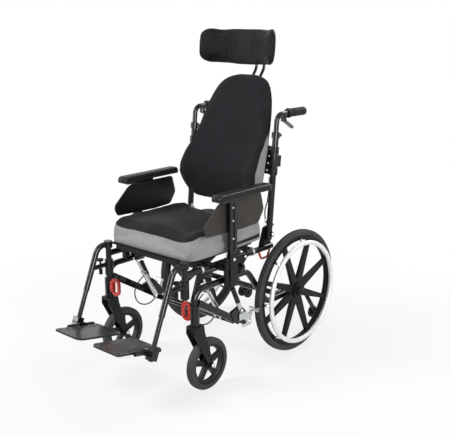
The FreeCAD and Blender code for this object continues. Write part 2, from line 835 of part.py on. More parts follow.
def anti_tip():
    """Anti-tip tube that plugs into its socket, with two rollers on a cross pin."""
    arm = bent_tube("tip_tube", d.anti_tip_x, [
        (d.rear_cross_y + 16, d.rail_low), (d.anti_tip_knee, d.rail_low), (d.anti_tip_y, d.anti_tip_z),
    ], [35], d.anti_tip_tube)
    inner = d.anti_tip_tube + 1.2
    half = inner + d.roller_width + 0.6
    low, high = d.anti_tip_x - half, d.anti_tip_x + half
    y, z = d.anti_tip_y, d.anti_tip_z
    ends = [
        rod("tip_pin", (low - 3, y, z), (high + 3, y, z), 4),
        rod("tip_end", (d.anti_tip_x - inner + 0.5, y, z), (d.anti_tip_x + inner - 0.5, y, z),
            d.anti_tip_tube + 1),
        rod("tip_cap", (low - 4, y, z), (low, y, z), 7),
        rod("tip_cap", (high, y, z), (high + 4, y, z), 7),
    ]
    pair("anti_tip_arm", joined("anti_tip_arm", [arm] + ends))
    discs = []
    for near in (d.anti_tip_x + inner, d.anti_tip_x - inner - d.roller_width):
        disc = rod("roller", (near, y, z), (near + d.roller_width, y, z), d.roller_radius)
        bore = rod("roller_bore", (near - 1, y, z), (near + d.roller_width + 1, y, z), 4 + d.run_fit)
        discs.append(cut("roller_ring", rounded("roller_soft", disc, 4, lambda edge: edge.Closed), [bore]))
    pair("anti_tip_roller", group("anti_tip_roller", discs))


def tie_downs():
    """Flat red loops beside the caster barrels, and bent hooks under the seat rails."""
    right = d.caster_x - d.barrel_radius + 2
    half_y = d.loop_wire / 2
    low = (right - d.loop_wide, d.stem_y - half_y, d.loop_z - d.loop_high / 2)
    high = (right, d.stem_y + half_y, d.loop_z + d.loop_high / 2)
    along = runs_along(Vector(0, 1, 0))
    outer = rounded("loop_outer", block("loop_block", low, high), 22, along)
    inner_low = (low[0] + d.loop_band, low[1] - 1, low[2] + d.loop_band)
    inner_high = (high[0] - d.loop_band, high[1] + 1, high[2] - d.loop_band)
    inner = rounded("loop_inner", block("loop_space", inner_low, inner_high), 9, along)
    clamp = block("loop_clamp", (right - d.loop_band, d.stem_y - 9, d.loop_z - 20),
                  (right, d.stem_y + 9, d.loop_z + 20))
    barrel = rod("loop_barrel", (d.caster_x, d.stem_y, d.loop_z - 40), (d.caster_x, d.stem_y, d.loop_z + 40),
                 d.barrel_radius)
    holes = [
        rod("clamp_hole", (right - 7, d.stem_y - 10, z), (right - 7, d.stem_y + 10, z), 3)
        for z in (d.loop_z - 11, d.loop_z + 11)
    ]
    loop = cut("front_loop", joined("loop_parts", [cut("loop_ring", outer, [inner]), clamp]),
               holes + [barrel])
    node("front_tie_downs", group("front_tie_downs", [loop, mirrored("loop_mirror", loop)]))
    low_z = d.seat_z - d.tube_radius
    hook = bent_tube("rear_hook", d.rail_x, [
        (d.seat_rear - 78, low_z + 1), (d.seat_rear - 64, low_z - 30),
        (d.seat_rear - 24, low_z - 30), (d.seat_rear - 10, low_z + 1),
    ], [14, 14], 4.5)
    rail = rod("rail_relief", (d.rail_x, d.seat_front, d.seat_z), (d.rail_x, d.seat_rear + 5, d.seat_z),
               d.tube_radius)
    hook = cut("rear_hook_cut", hook, [rail])
    node("rear_tie_downs", group("rear_tie_downs", [hook, mirrored("hook_mirror", hook)]))


# Gas springs
def gas_springs():
    low = (d.spring_x, d.spring_low_y, d.spring_low_z)
    top = (d.spring_x, d.spring_top_y, d.spring_top_z)
    length = distance(low, top)
    eye = rod("low_eye", (spring_in, low[1], low[2]), (spring_out, low[1], low[2]), d.eye_radius)
    bore = rod("low_eye_bore", (spring_in - 1, low[1], low[2]), (spring_out + 1, low[1], low[2]),
               d.piston_rod + d.run_fit)
    neck = rod("low_neck", towards(low, top, d.eye_radius - 2), towards(low, top, d.eye_radius + 8),
               d.eye_neck)
    case = rod("case", towards(low, top, d.eye_radius + 6), towards(low, top, d.cylinder_length),
               d.cylinder_radius)
    room = rod("case_room", towards(low, top, d.eye_radius + 12), towards(low, top, d.cylinder_length + 1),
               d.cylinder_bore)
    pair("gas_cylinder", cut("gas_cylinder", joined("cylinder_parts", [eye, neck, case]), [bore, room]))
    eye = rod("top_eye", (spring_in, top[1], top[2]), (spring_out, top[1], top[2]), d.eye_radius)
    bore = rod("top_eye_bore", (spring_in - 1, top[1], top[2]), (spring_out + 1, top[1], top[2]),
               d.piston_rod + d.run_fit)
    piston = rod("piston", towards(low, top, d.piston_depth), towards(low, top, length - d.eye_radius - 3),
                 d.piston_rod)
    neck = rod("top_neck", towards(low, top, length - d.eye_radius - 4),
               towards(low, top, length - d.eye_radius + 2),
               d.eye_neck)
    pair("gas_rod", cut("gas_rod", joined("rod_parts", [eye, neck, piston]), [bore]))


# Wheel locks
def wheel_lock():
    """Lever with its grip, and the shoe bar that presses on the tyre."""
    face = d.side_x + 5 + d.lock_plate + d.body_gap
    pivot = (d.lock_pivot_y, d.lock_pivot_z)
    knee = (d.lock_pivot_y - 16, d.lock_pivot_z + 36)
    tip = (d.lock_pivot_y - 46, d.lock_pivot_z + 99)
    blade = link("lock_blade", pivot, knee, 9, face, d.link_thick)
    bore = rod("lock_bore", (face - 1, pivot[0], pivot[1]), (face + 7, pivot[0], pivot[1]), 4 + d.run_fit)
    x = face + d.link_thick / 2
    start = (x, knee[0] - 1, knee[1] + 2)
    grip = rod("lock_grip", start, towards(start, (x, tip[0], tip[1]), d.lock_grip_length),
               d.lock_grip_radius)
    grip = rounded("lock_grip_soft", grip, 4, lambda edge: edge.Closed)
    pair("lock_lever", cut("lock_lever", joined("lever_parts", [blade, grip]), [bore]))
    pivot = (d.shoe_pivot_y, d.shoe_pivot_z)
    shoe = (d.shoe_y, d.shoe_z)
    arm = link("shoe_arm", pivot, shoe, 8, face, d.link_thick)
    tail = link("shoe_tail", pivot, (d.shoe_pivot_y - 24, d.shoe_pivot_z + 16), 6, face, d.link_thick)
    bar = rod("shoe_bar", (face - 4, shoe[0], shoe[1]), (face + 36, shoe[0], shoe[1]), d.shoe_radius)
    hollow = rod("shoe_hollow", (face + 8, shoe[0], shoe[1]), (face + 37, shoe[0], shoe[1]),
                 d.shoe_radius - 2.5)
    bore = rod("shoe_bore", (face - 1, pivot[0], pivot[1]), (face + 7, pivot[0], pivot[1]), 4 + d.run_fit)
    pair("lock_shoe", cut("lock_shoe", joined("shoe_parts", [arm, tail, bar]), [bore, hollow]))


# Seat
def seat_rails():
    """Two rails joined by a front and a rear cross bar, with the posts that carry the hangers."""
    rail = rod("rail", (d.rail_x, d.seat_front, d.seat_z), (d.rail_x, d.seat_rear, d.seat_z), d.tube_radius)
    post = rod("hanger_post", (d.rail_x, d.seat_front, d.post_low), (d.rail_x, d.seat_front, d.post_top),
               d.post_radius)
    front = rod("front_bar", (-d.rail_x, d.spring_top_y, d.seat_z - 2),
                (d.rail_x, d.spring_top_y, d.seat_z - 2),
                d.tube_radius)
    rear = rod("rear_bar", (-d.rail_x, d.seat_rear - 105, d.seat_z), (d.rail_x, d.seat_rear - 105, d.seat_z),
               d.tube_radius)
    ears = spring_ears("top_ear", (d.spring_top_y, d.seat_z - 2), (d.spring_top_y, d.spring_top_z))
    node("seat_rails", joined("seat_rails", [front, rear] + both_sides([rail, post] + ears)))


def seat_pan():
    """Flat plate on spacers above the rails, with a rounded lip at the front."""
    half = d.rail_x + 2
    low = d.pan_top - d.pan_sheet
    tray = block("tray", (-half, d.pan_front, low), (half, d.pan_rear, d.pan_top))
    lip = block("pan_lip", (-half + 36, d.pan_front - 14, d.pan_top - 14),
                (half - 36, d.pan_front + 1, d.pan_top))
    front = number_of(d.pan_front) - 14
    lip = rounded("pan_lip_soft", lip, 10, lambda edge: max(v.Y for v in edge.Vertexes) < front + 0.01
                  and min(v.Z for v in edge.Vertexes) < max(v.Z for v in edge.Vertexes))
    spacers = [
        rod("pan_spacer", (d.rail_x, y, d.seat_z), (d.rail_x, y, low + 1), 9)
        for y in (d.pan_front + 34, d.pan_front + 104, d.pan_rear - 34)
    ]
    rail = rod("pan_rail", (d.rail_x, d.seat_front, d.seat_z), (d.rail_x, d.seat_rear, d.seat_z),
               d.tube_radius)
    node("seat_pan", cut("seat_pan", joined("pan_parts", [tray, lip] + both_sides(spacers)),
                         both_sides([rail])))


def seat_brackets():
    """Tilt pivot plates outside the rails, back brackets on the rails, and a clamp under each rail."""
    side = d.rail_x + d.tube_radius
    y, z = d.pivot_y, d.pivot_z
    pivot = plate("pivot_plate", [
        (y - 62, d.seat_z + 8), (y - 12, z - 12), (y + 12, z - 12), (y + 62, d.seat_z + 8),
    ], side, d.pivot_plate)
    hole = rod("plate_hole", (side - 1, y, z), (side + 6, y, z), d.bolt_radius + d.run_fit)
    bolts = [
        rod("plate_bolt", (side - 4, y + step, d.seat_z), (side + d.pivot_plate + 3, y + step, d.seat_z), 6)
        for step in (-32, 32)
    ]
    rail = rod("bracket_rail", (d.rail_x, d.seat_front, d.seat_z), (d.rail_x, d.seat_rear, d.seat_z),
               d.tube_radius)
    pivot = cut("pivot_plate_cut", joined("pivot_parts", [pivot] + bolts), [hole, rail])
    y, z = d.back_pivot_y, d.back_pivot_z
    inside = d.cane_x - d.cane_radius - d.body_gap
    back = plate("back_bracket", [
        (y - 42, d.seat_z + 4), (y + 28, d.seat_z + 4), (y + 25, z + 18), (y + 8, z + 30), (y - 16, z + 25),
    ], inside - 8.5, 8.5)
    pin_end = d.cane_x + d.cane_radius + 1
    pin_parts = [
        rod("back_pin", (inside - 12, y, z), (pin_end, y, z), d.bolt_radius),
        rod("back_pin_head", (inside - 14, y, z), (inside - 8, y, z), 9),
        rod("back_pin_knob", (pin_end, y, z), (pin_end + 7, y, z), 10),
    ]
    back = cut("back_bracket_cut", joined("back_bracket_parts", [back] + pin_parts), [rail])
    clamp = block("rail_clamp", (d.rail_x - 10, d.pivot_y - 204, d.seat_z - 36),
                  (d.rail_x + 8, d.pivot_y - 180, d.seat_z - 4))
    knob = rod("clamp_knob", (d.rail_x - 1, d.pivot_y - 192, d.seat_z - 50),
               (d.rail_x - 1, d.pivot_y - 192, d.seat_z - 34), 7)
    clamp = cut("rail_clamp_cut", joined("clamp_parts", [clamp, knob]), [rail])
    node("seat_brackets", group("seat_brackets", both_sides([pivot, back, clamp])))


def curve_through(sketch, start, middle, end):
    """An arc through three points, of which the middle one is also held."""
    flat = [Vector(number_of(a), number_of(b), 0) for a, b in (start, middle, end)]
    left_turn = (flat[1] - flat[0]).cross(flat[2] - flat[1]).z > 0
    if not left_turn:
        flat.reverse()
    bow = Part.Circle(*flat)
    centre = bow.Center
    low, high = (math.atan2(p.y - centre.y, p.x - centre.x) for p in (flat[0], flat[2]))
    high += 2 * math.pi * (high < low)
    circle = Part.Circle(centre, Vector(0, 0, 1), bow.Radius)
    curve = sketch.addGeometry(Part.ArcOfCircle(circle, low, high), False)
    mark = sketch.addGeometry(Part.Point(flat[1]), True)
    pin(sketch, mark, 1, middle)
    sketch.addConstraint(Sketcher.Constraint("PointOnObject", mark, 1, curve))
    return curve, (1, 2) if left_turn else (2, 1)


def soft_outline(sketch, runs):
    """A closed outline of (start, middle or None) runs; a middle makes the run an arc."""
    drawn = []
    for i, (start, middle) in enumerate(runs):
        end = runs[(i + 1) % len(runs)][0]
        if middle:
            drawn.append(curve_through(sketch, start, middle, end))
        else:
            a, b = (Vector(number_of(x), number_of(y), 0) for x, y in (start, end))
            drawn.append((sketch.addGeometry(Part.LineSegment(a, b), False), (1, 2)))
    for i, (curve, ends) in enumerate(drawn):
        after, after_ends = drawn[(i + 1) % len(drawn)]
        sketch.addConstraint(Sketcher.Constraint("Coincident", curve, ends[1], after, after_ends[0]))
    for (start, _), (curve, ends) in zip(runs, drawn):
        pin(sketch, curve, ends[0], start)


def lofted(body, role, sections):
    """A loft through (station, runs) sections; the station is measured along the plane's normal."""
    sketches = []
    for station, runs in sections:
        sketch = new_sketch(body, role, Placement(Vector(0, 0, number_of(station)), Rotation()))
        if isinstance(station, Size):
            sketch.setExpression("AttachmentOffset.Base.z", station.formula)
        soft_outline(sketch, runs)
        sketches.append(sketch)
    doc.recompute()
    loft = body.newObject("PartDesign::AdditiveLoft", fresh(f"{body.Name}_loft"))
    loft.Profile = sketches[0]
    loft.Sections = sketches[1:]
    body.Tip = loft
    return loft


def seat_section(half, side, trough, shoulder, middle):
    """Outline across the seat cushion: bulging sides, two leg troughs and a rounded middle."""
    return [
        ((-half + 7, 0), None),
        ((half - 7, 0), (half, side / 2)),
        ((half - 12, side), (half * 0.64, trough)),
        ((half * 0.28, shoulder), (0, middle)),
        ((-half * 0.28, shoulder), (-half * 0.64, trough)),
        ((-half + 12, side), (-half, side / 2)),
    ]


def seat_cushion():
    """Contoured cushion, lofted from back to front; heights are parts of the cushion's height."""
    body = new_body("seat_cushion")
    high = d.cushion_height
    length = d.cushion_rear - d.cushion_front
    shapes = [
        (0.0, 0.96, 0.84, 0.76, 0.72, 0.70),
        (0.18, 0.99, 0.91, 0.78, 0.76, 0.75),
        (0.45, 1.0, 0.93, 0.79, 0.83, 0.86),
        (0.75, 1.0, 0.93, 0.82, 0.89, 0.95),
        (0.92, 0.98, 0.89, 0.82, 0.90, 0.97),
        (1.0, 0.94, 0.78, 0.74, 0.80, 0.86),
    ]
    sections = [
        (length * share, seat_section(d.cushion_half * wide, *(high * part for part in heights)))
        for share, wide, *heights in shapes
    ]
    lofted(body, "XZ_Plane", sections)
    place(body, (0, d.cushion_rear, d.pan_top))
    node("seat_cushion", body)


def armrest_sockets():
    """Upright sockets beside the seat rails that take the armrest posts."""
    x, y = d.arm_post_x, d.arm_post_y
    half_x = d.arm_post_thick / 2
    half_y = d.arm_post_wide / 2
    low, top = d.arm_socket_low, d.arm_socket_top
    shell = block("socket", (x - half_x - 2.5, y - half_y - 3, low), (x + half_x + 2.5, y + half_y + 3, top))
    shell = rounded("socket_soft", shell, 3, runs_along(Vector(0, 0, 1)))
    bore = block("socket_bore", (x - half_x - 0.4, y - half_y - 0.4, low - 1),
                 (x + half_x + 0.4, y + half_y + 0.4, top + 1))
    rail = rod("socket_rail", (d.rail_x, d.seat_front, d.seat_z), (d.rail_x, d.seat_rear, d.seat_z),
               d.tube_radius)
    bridge = block("bridge", (d.rail_x + 4, y - half_y - 26, d.seat_z - 12),
                   (x - half_x - 1, y + half_y - 8, d.seat_z + 12))
    upright_y = y - half_y - 16
    upright = rod("socket_upright", (x, upright_y, low + 6), (x, upright_y, top - 8), 9)
    ties = [
        block("socket_tie", (x - 6, upright_y, z), (x + 6, y - half_y - 2, z + 22))
        for z in (low + 16, d.seat_z - 11, top - 36)
    ]
    bridge_end = block("bridge_end", (x - half_x - 2, upright_y - 5, d.seat_z - 12),
                       (x, upright_y + 5, d.seat_z + 12))
    screws = [
        rod("socket_screw", (x + 6, upright_y, z), (x + 12, upright_y, z), 5) for z in (low + 27, top - 25)
    ]
    parts = [shell, bridge, bridge_end, upright] + ties + screws
    socket = cut("socket_cut", joined("socket_parts", parts), [bore, rail])
    node("armrest_sockets", group("armrest_sockets", both_sides([socket])))


# Armrests
def armrest():
    """Post with its top plate, padded rest, and the side guard on two spacers."""
    x, y = d.arm_post_x, d.arm_post_y
    half_x = d.arm_post_thick / 2
    half_y = d.arm_post_wide / 2
    top = d.arm_pad_low - 8
    post = block("post", (x - half_x, y - half_y, d.arm_socket_low + 9), (x + half_x, y + half_y, top))
    groove = block("post_groove", (x + half_x - 3, y - 5, d.arm_socket_top + 12),
                   (x + half_x + 1, y + 5, top - 12))
    saddle = block("pad_plate", (x - 18, y - 62, top - 1), (x + 12, y + 74, d.arm_pad_low))
    pair("armrest_post", cut("armrest_post", joined("post_parts", [post, saddle]), [groove]))
    half = d.arm_pad_wide / 2
    rest = block("pad_block", (d.arm_pad_x - half, d.arm_pad_front, d.arm_pad_low),
                 (d.arm_pad_x + half, d.arm_pad_rear, d.arm_pad_low + d.arm_pad_high))
    rest = rounded("pad_ends", rest, 20, runs_along(Vector(0, 0, 1)))
    high = number_of(d.arm_pad_low + d.arm_pad_high)
    rest = rounded("armrest_pad", rest, 9, lambda edge: min(v.Z for v in edge.Vertexes) > high - 0.01)
    pair("armrest_pad", rest)
    inner = d.guard_x - d.guard_thick / 2
    outer = d.guard_x + d.guard_thick / 2
    sheet_body = new_body("guard")
    outline = new_sketch(sheet_body, "YZ_Plane")
    guard_top = top - 1.5
    bent_closed(outline, [
        ((-528, 622), 26), ((-508, 586), 12), ((-310, 580), 200), ((-220, 584), 25), ((-188, 632), 25),
        ((-206, guard_top), 14), ((-440, guard_top), 60),
    ])
    pad(sheet_body, outline, d.guard_thick)
    place(sheet_body, (inner, 0, 0))
    spacers = [
        rod("guard_spacer", (outer - 1, y, z), (x - half_x - 0.05, y, z), 8) for z in (top - 90, top - 24)
    ]
    pair("side_guard", joined("side_guard", [sheet_body] + spacers))


# Back
def back_point(across, up):
    """World (y, z) of a point in the back's own frame, which leans with the canes."""
    c, s = cosine(d.cane_lean), sine(d.cane_lean)
    return d.back_pivot_y + across * c + up * s, d.back_pivot_z - across * s + up * c


def back_frame(item):
    """Stands an item drawn upright at the origin on the back pivot, leaning with the canes."""
    return place(item, (0, d.back_pivot_y, d.back_pivot_z),
                 Rotation(Vector(1, 0, 0), -number_of(d.cane_lean)))


def on_back(name, low, high):
    """A block given in the back's own frame."""
    corner = (low[0],) + back_point(low[1], low[2])
    return block(name, low, high, Rotation(Vector(1, 0, 0), -number_of(d.cane_lean)), corner)


def along_cane(name, x, low, high, radius):
    return rod(name, (x,) + back_point(0, low), (x,) + back_point(0, high), radius)


def across_back(name, x, up, low, high, radius):
    return rod(name, (x,) + back_point(low, up), (x,) + back_point(high, up), radius)


def back_canes():
    """Tubular canes on the back pivots, open at the top for the handle stems."""
    top = d.cane_length
    cane = along_cane("cane", d.cane_x, -d.cane_foot, top, d.cane_radius)
    collar = along_cane("cane_collar", d.cane_x, top - 24, top, d.cane_radius + 4)
    knob = across_back("collar_knob", d.cane_x, top - 12, 12, 30, 7)
    tang = across_back("latch_tang", d.cane_x, d.cane_foot + 12, 4, 20, 6)
    bore = along_cane("cane_bore", d.cane_x, top - 165, top + 1, d.handle_tube + d.run_fit)
    y, z = d.back_pivot_y, d.back_pivot_z
    hole = rod("cane_hole", (d.cane_x - 14, y, z), (d.cane_x + 14, y, z), d.bolt_radius + d.run_fit)
    cane = cut("cane_cut", joined("cane_parts", [cane, collar, knob, tang]), [bore, hole])
    node("back_canes", group("back_canes", both_sides([cane])))


shell_inner = (d.shell_half * d.shell_half + d.shell_dish * d.shell_dish) / (d.shell_dish * 2)
shell_middle = d.shell_dish - 18


def shell_depth(x, radius, middle):
    """How far back a round shell lies at x from the middle of the back."""
    return middle - radius + root(radius * radius - x * x)


def band(sketch, half, radius, middle, thick):
    """A curved band: arc of the radius through (0, middle), a second one thick behind it."""
    outer = radius + thick
    low = shell_depth(half, radius, middle)
    high = shell_depth(half, outer, middle + thick)
    soft_outline(sketch, [
        ((-half, low), (0, middle)),
        ((half, low), None),
        ((half, high), (0, middle + thick)),
        ((-half, high), None),
    ])


def shell_point(across, up):
    """World (y, z) of a point in the shell's frame, which leans back from the canes at the mounts."""
    foot = back_point(0, d.shell_knee)
    c, s = cosine(d.cane_lean + d.shell_lean), sine(d.cane_lean + d.shell_lean)
    rise = up - d.shell_knee
    return foot[0] + across * c + rise * s, foot[1] - across * s + rise * c


def shell_turn():
    return Rotation(Vector(1, 0, 0), -number_of(d.cane_lean + d.shell_lean))


def on_shell(name, low, high):
    """A block given in the shell's frame."""
    return block(name, low, high, shell_turn(), (low[0],) + shell_point(low[1], low[2]))


def across_shell(name, x, up, low, high, radius):
    return rod(name, (x,) + shell_point(low, up), (x,) + shell_point(high, up), radius)


def back_shell():
    """Moulded shell curved round the sitter's back, narrower at the top."""
    body = new_body("back_shell")
    plan = new_sketch(body, "XY_Plane", Placement(Vector(0, 0, number_of(d.shell_low)), Rotation()))
    plan.setExpression("AttachmentOffset.Base.z", d.shell_low.formula)
    band(plan, d.shell_half, shell_inner, shell_middle, d.shell_wall)
    pad(body, plan, d.shell_top - d.shell_low)
    place(body, (0,) + shell_point(0, 0), shell_turn())
    outline = new_body("shell_outline")
    face = new_sketch(outline, "XZ_Plane")
    waist = (d.shell_low + d.shell_top) / 2
    narrow = d.shell_half * 0.6
    bent_closed(face, [
        ((-d.shell_half, d.shell_low), 60), ((d.shell_half, d.shell_low), 60), ((d.shell_half, waist), 150),
        ((narrow, d.shell_top), 60), ((-narrow, d.shell_top), 60), ((-d.shell_half, waist), 150),
    ])
    pad(outline, face, d.shell_dish * 3, both_ways=True)
    place(outline, (0,) + shell_point(0, 0), shell_turn())
    shell = doc.addObject("Part::Common", "shell")
    shell.Base = body
    shell.Tool = outline
    node("back_shell", group("back_shell", [shell]))
    return shell


def back_mounts(shell):
    """Plates and clamps that hold the shell on the canes, and the guide of the headrest stalk."""
    low, high = d.shell_low + 105, d.shell_low + 215
    inner = d.shell_half - 10
    ear = on_shell("mount_plate", (inner, -12, low), (d.cane_x - d.cane_radius + 2, 0, high))
    rings = [
        along_cane("mount_ring", d.cane_x, start, start + 26, d.cane_radius + 4) for start in (low, high - 26)
    ]
    screws = [
        across_shell("mount_screw", d.shell_half + 10, low + step, -15, -11, 4) for step in (14, 42, 70, 98)
    ]
    latch = on_back("mount_latch", (d.cane_x - 8, 12, low + 32), (d.cane_x + 8, 34, low + 76))
    web = on_back("mount_web", (d.cane_x - 6, 6, low + 8), (d.cane_x + 6, 18, high - 8))
    relief = along_cane("mount_relief", d.cane_x, low - 1, high + 1, d.cane_radius)
    side = cut("mount_cut", joined("mount_parts", [ear, latch, web] + rings + screws), [relief, shell])
    guide_low, guide_high = d.shell_top - 130, d.shell_top - 45
    tall = number_of(guide_high - guide_low)
    guide = on_shell("stalk_guide", (-32, 24, guide_low), (32, 48, guide_high))
    guide = rounded("stalk_guide_soft", guide, 6, lambda edge: abs(edge.Length - tall) < 0.01)
    bores = [
        rod("stalk_bore", (x,) + shell_point(36, guide_low - 1), (x,) + shell_point(36, guide_high + 1),
            stalk_radius + d.run_fit)
        for x in (-stalk_x, stalk_x)
    ]
    guide = cut("stalk_guide_cut", guide, bores + [shell])
    node("back_mounts", group("back_mounts", both_sides([side]) + [guide]))


def back_section(up, half, side, middle):
    """Outline across the back cushion at a height: follows the shell behind, hollowed in front."""
    edge = half - 14
    c = cosine(d.shell_lean)
    shift = (up - d.shell_knee) * sine(d.shell_lean) / c - d.run_fit
    rear = shell_depth(edge, shell_inner, shell_middle) / c + shift
    return [
        ((edge, rear), (0, shell_middle / c + shift)),
        ((-edge, rear), (-half, (rear + side) / 2)),
        ((-half + 15, side), (0, middle)),
        ((half - 15, side), (half, (rear + side) / 2)),
    ]


def back_cushion():
    """Pear-shaped cushion, widest low down where its sides reach furthest forward."""
    body = new_body("back_cushion")
    shapes = [
        (97, 0.76, -44, -34), (112, 0.84, -57, -43), (132, 0.90, -70, -52), (162, 0.955, -89, -60),
        (200, 1.0, -104, -64), (240, 0.99, -103, -60), (290, 0.95, -80, -44), (340, 0.905, -46, -26),
        (400, 0.84, -16, -8), (450, 0.78, 2, 8), (500, 0.72, 20, 24), (545, 0.63, 34, 38),
        (585, 0.50, 47, 50), (610, 0.30, 57, 60),
    ]
    widest = d.shell_half * 1.13
    sections = []
    for share, wide, side, middle in shapes:
        up = d.shell_top * (share / 540)
        sections.append((up, back_section(up, widest * wide, side, middle)))
    lofted(body, "XY_Plane", sections)
    node("back_cushion", back_frame(body))


# Push handles
def push_handle():
    """Telescoping stem with a rearward grip and the housing of the tilt lever."""
    c, s = cosine(d.cane_lean), sine(d.cane_lean)
    corner_y = d.back_pivot_y + (d.handle_z - d.back_pivot_z) * s / c
    stem = bent_tube("handle_stem", d.cane_x, [
        back_point(0, d.cane_length - 140), (corner_y, d.handle_z), (d.handle_end - 4, d.handle_z),
    ], [32], d.handle_tube)
    grip = rod("grip", (d.cane_x, d.grip_start, d.handle_z), (d.cane_x, d.handle_end, d.handle_z),
               d.grip_radius)
    grip = rounded("grip_soft", grip, 5, lambda edge: edge.Closed)
    room = rod("grip_room", (d.cane_x, d.grip_start - 1, d.handle_z),
               (d.cane_x, d.handle_end - 4, d.handle_z),
               d.handle_tube)
    pivot = (d.grip_start - 26, d.handle_z - 25)
    root_point = (pivot[0], d.handle_z - 6)
    ears = [link("lever_ear", root_point, pivot, 7, d.cane_x + start, 4) for start in (-9, 5)]
    pin_rod = rod("lever_pin", (d.cane_x - 10, pivot[0], pivot[1]), (d.cane_x + 10, pivot[0], pivot[1]), 3)
    stem = joined("handle_metal", [stem, pin_rod] + ears)
    pair("push_handle", group("push_handle", [stem, cut("grip_cut", grip, [room])]))
    end = (pivot[0] + 54, pivot[1] - 33)
    blade = link("lever_blade", pivot, end, 6, d.cane_x - 4.5, 9)
    bore = rod("lever_bore", (d.cane_x - 6, pivot[0], pivot[1]), (d.cane_x + 6, pivot[0], pivot[1]),
               3 + d.run_fit)
    pair("tilt_lever", cut("tilt_lever", blade, [bore]))


# Headrest
stalk_x = 20
stalk_radius = 6
head_y = d.back_pivot_y + 150
head_z = d.head_z + 2


def headrest():
    """Two bent bars that slide in the guide, and the curved pad on its tilt pin."""
    bars = [
        bent_tube("stalk_bar", x, [
            shell_point(36, d.shell_top - 150), shell_point(36, d.shell_top + 18),
            (head_y + 66, d.head_z - 72), (head_y, head_z),
        ], [30, 34], stalk_radius)
        for x in (-stalk_x, stalk_x)
    ]
    cross = rod("head_pin", (-stalk_x - 6, head_y, head_z), (stalk_x + 6, head_y, head_z), 5)
    ends = [rod("stalk_end", (x - 6, head_y, head_z), (x + 6, head_y, head_z), 8) for x in (-stalk_x,
                                                                                            stalk_x)]
    node("headrest_stalk", joined("headrest_stalk", bars + ends + [cross]))
    body = new_body("head_pad")
    plan = new_sketch(body, "XY_Plane")
    band(plan, d.head_half, d.head_half * 1.35, -54, 38)
    cushion = pad(body, plan, d.head_high)
    doc.recompute()
    soft = body.newObject("PartDesign::Fillet", "head_soft")
    soft.Base = (cushion, [f"Edge{i}" for i in range(1, len(cushion.Shape.Edges) + 1)])
    soft.Radius = 15
    body.Tip = soft
    lean = Rotation(Vector(1, 0, 0), -number_of(d.cane_lean))
    place(body, (0, head_y, d.head_z - d.head_high / 2), lean)
    lug = joined("head_lug", [
        block("lug_block", (-11, head_y - 18, head_z - 9), (11, head_y, head_z + 9)),
        rod("lug_round", (-11, head_y, head_z), (11, head_y, head_z), 9),
        block("lug_plate", (-40, head_y - 24, head_z - 24), (40, head_y - 11, head_z + 24)),
    ])
    bore = rod("lug_bore", (-12, head_y, head_z), (12, head_y, head_z), 5 + d.run_fit)
    lug = cut("head_lug_cut", lug, [bore, body])
    node("headrest_pad", group("headrest_pad", [body, lug]))


# Hangers and footplates
def hanger_y(z):
    """Where the sloped part of a hanger stands at a height."""
    return d.hanger_bend_y - (d.hanger_high - z) * cosine(d.hanger_slope) / sine(d.hanger_slope)


def hanger():
    """Swing-away tube on its post collars, with the latch knob in the cross arm."""
    x, y = d.rail_x, d.seat_front
    tube = bent_tube("hanger_tube", x, [
        (y - 9, d.hanger_high), (d.hanger_bend_y, d.hanger_high), (hanger_y(d.hanger_end_z), d.hanger_end_z),
    ], [45], d.hanger_tube, d.extension_tube + d.run_fit)
    collars = [
        rod("top_collar", (x, y, d.post_top - 18), (x, y, d.post_top + 8), d.collar_radius),
        rod("low_collar", (x, y, d.post_low + 6), (x, y, d.post_low + 68), d.collar_radius),
    ]
    arm = rod("cross_arm", (x, y, d.arm_bar_z), (x, hanger_y(d.arm_bar_z) + 4, d.arm_bar_z), 9)
    core = rod("hanger_core", (x, hanger_y(d.hanger_end_z - 2), d.hanger_end_z - 2),
               (x, hanger_y(d.hanger_high - 32), d.hanger_high - 32), d.extension_tube + d.run_fit)
    post = rod("post_space", (x, y, d.post_low - 5), (x, y, d.post_top + 1), d.post_radius + d.run_fit)
    hole = rod("plunger_hole", (x, d.plunger_y, d.arm_bar_z - 12), (x, d.plunger_y, d.arm_bar_z + 12),
               4 + d.run_fit)
    pair("hanger_tube", cut("hanger_tube", joined("hanger_parts", [tube, arm] + collars), [core, post, hole]))
    z = d.arm_bar_z
    latch = joined("hanger_latch", [
        rod("plunger", (x, d.plunger_y, z - 22), (x, d.plunger_y, z + 26), 4),
        rod("latch_disc", (x, d.plunger_y, z + 22), (x, d.plunger_y, z + 30), 12),
        rod("latch_foot", (x, d.plunger_y, z - 32), (x, d.plunger_y, z - 11), 7),
    ])
    pair("hanger_latch", latch)


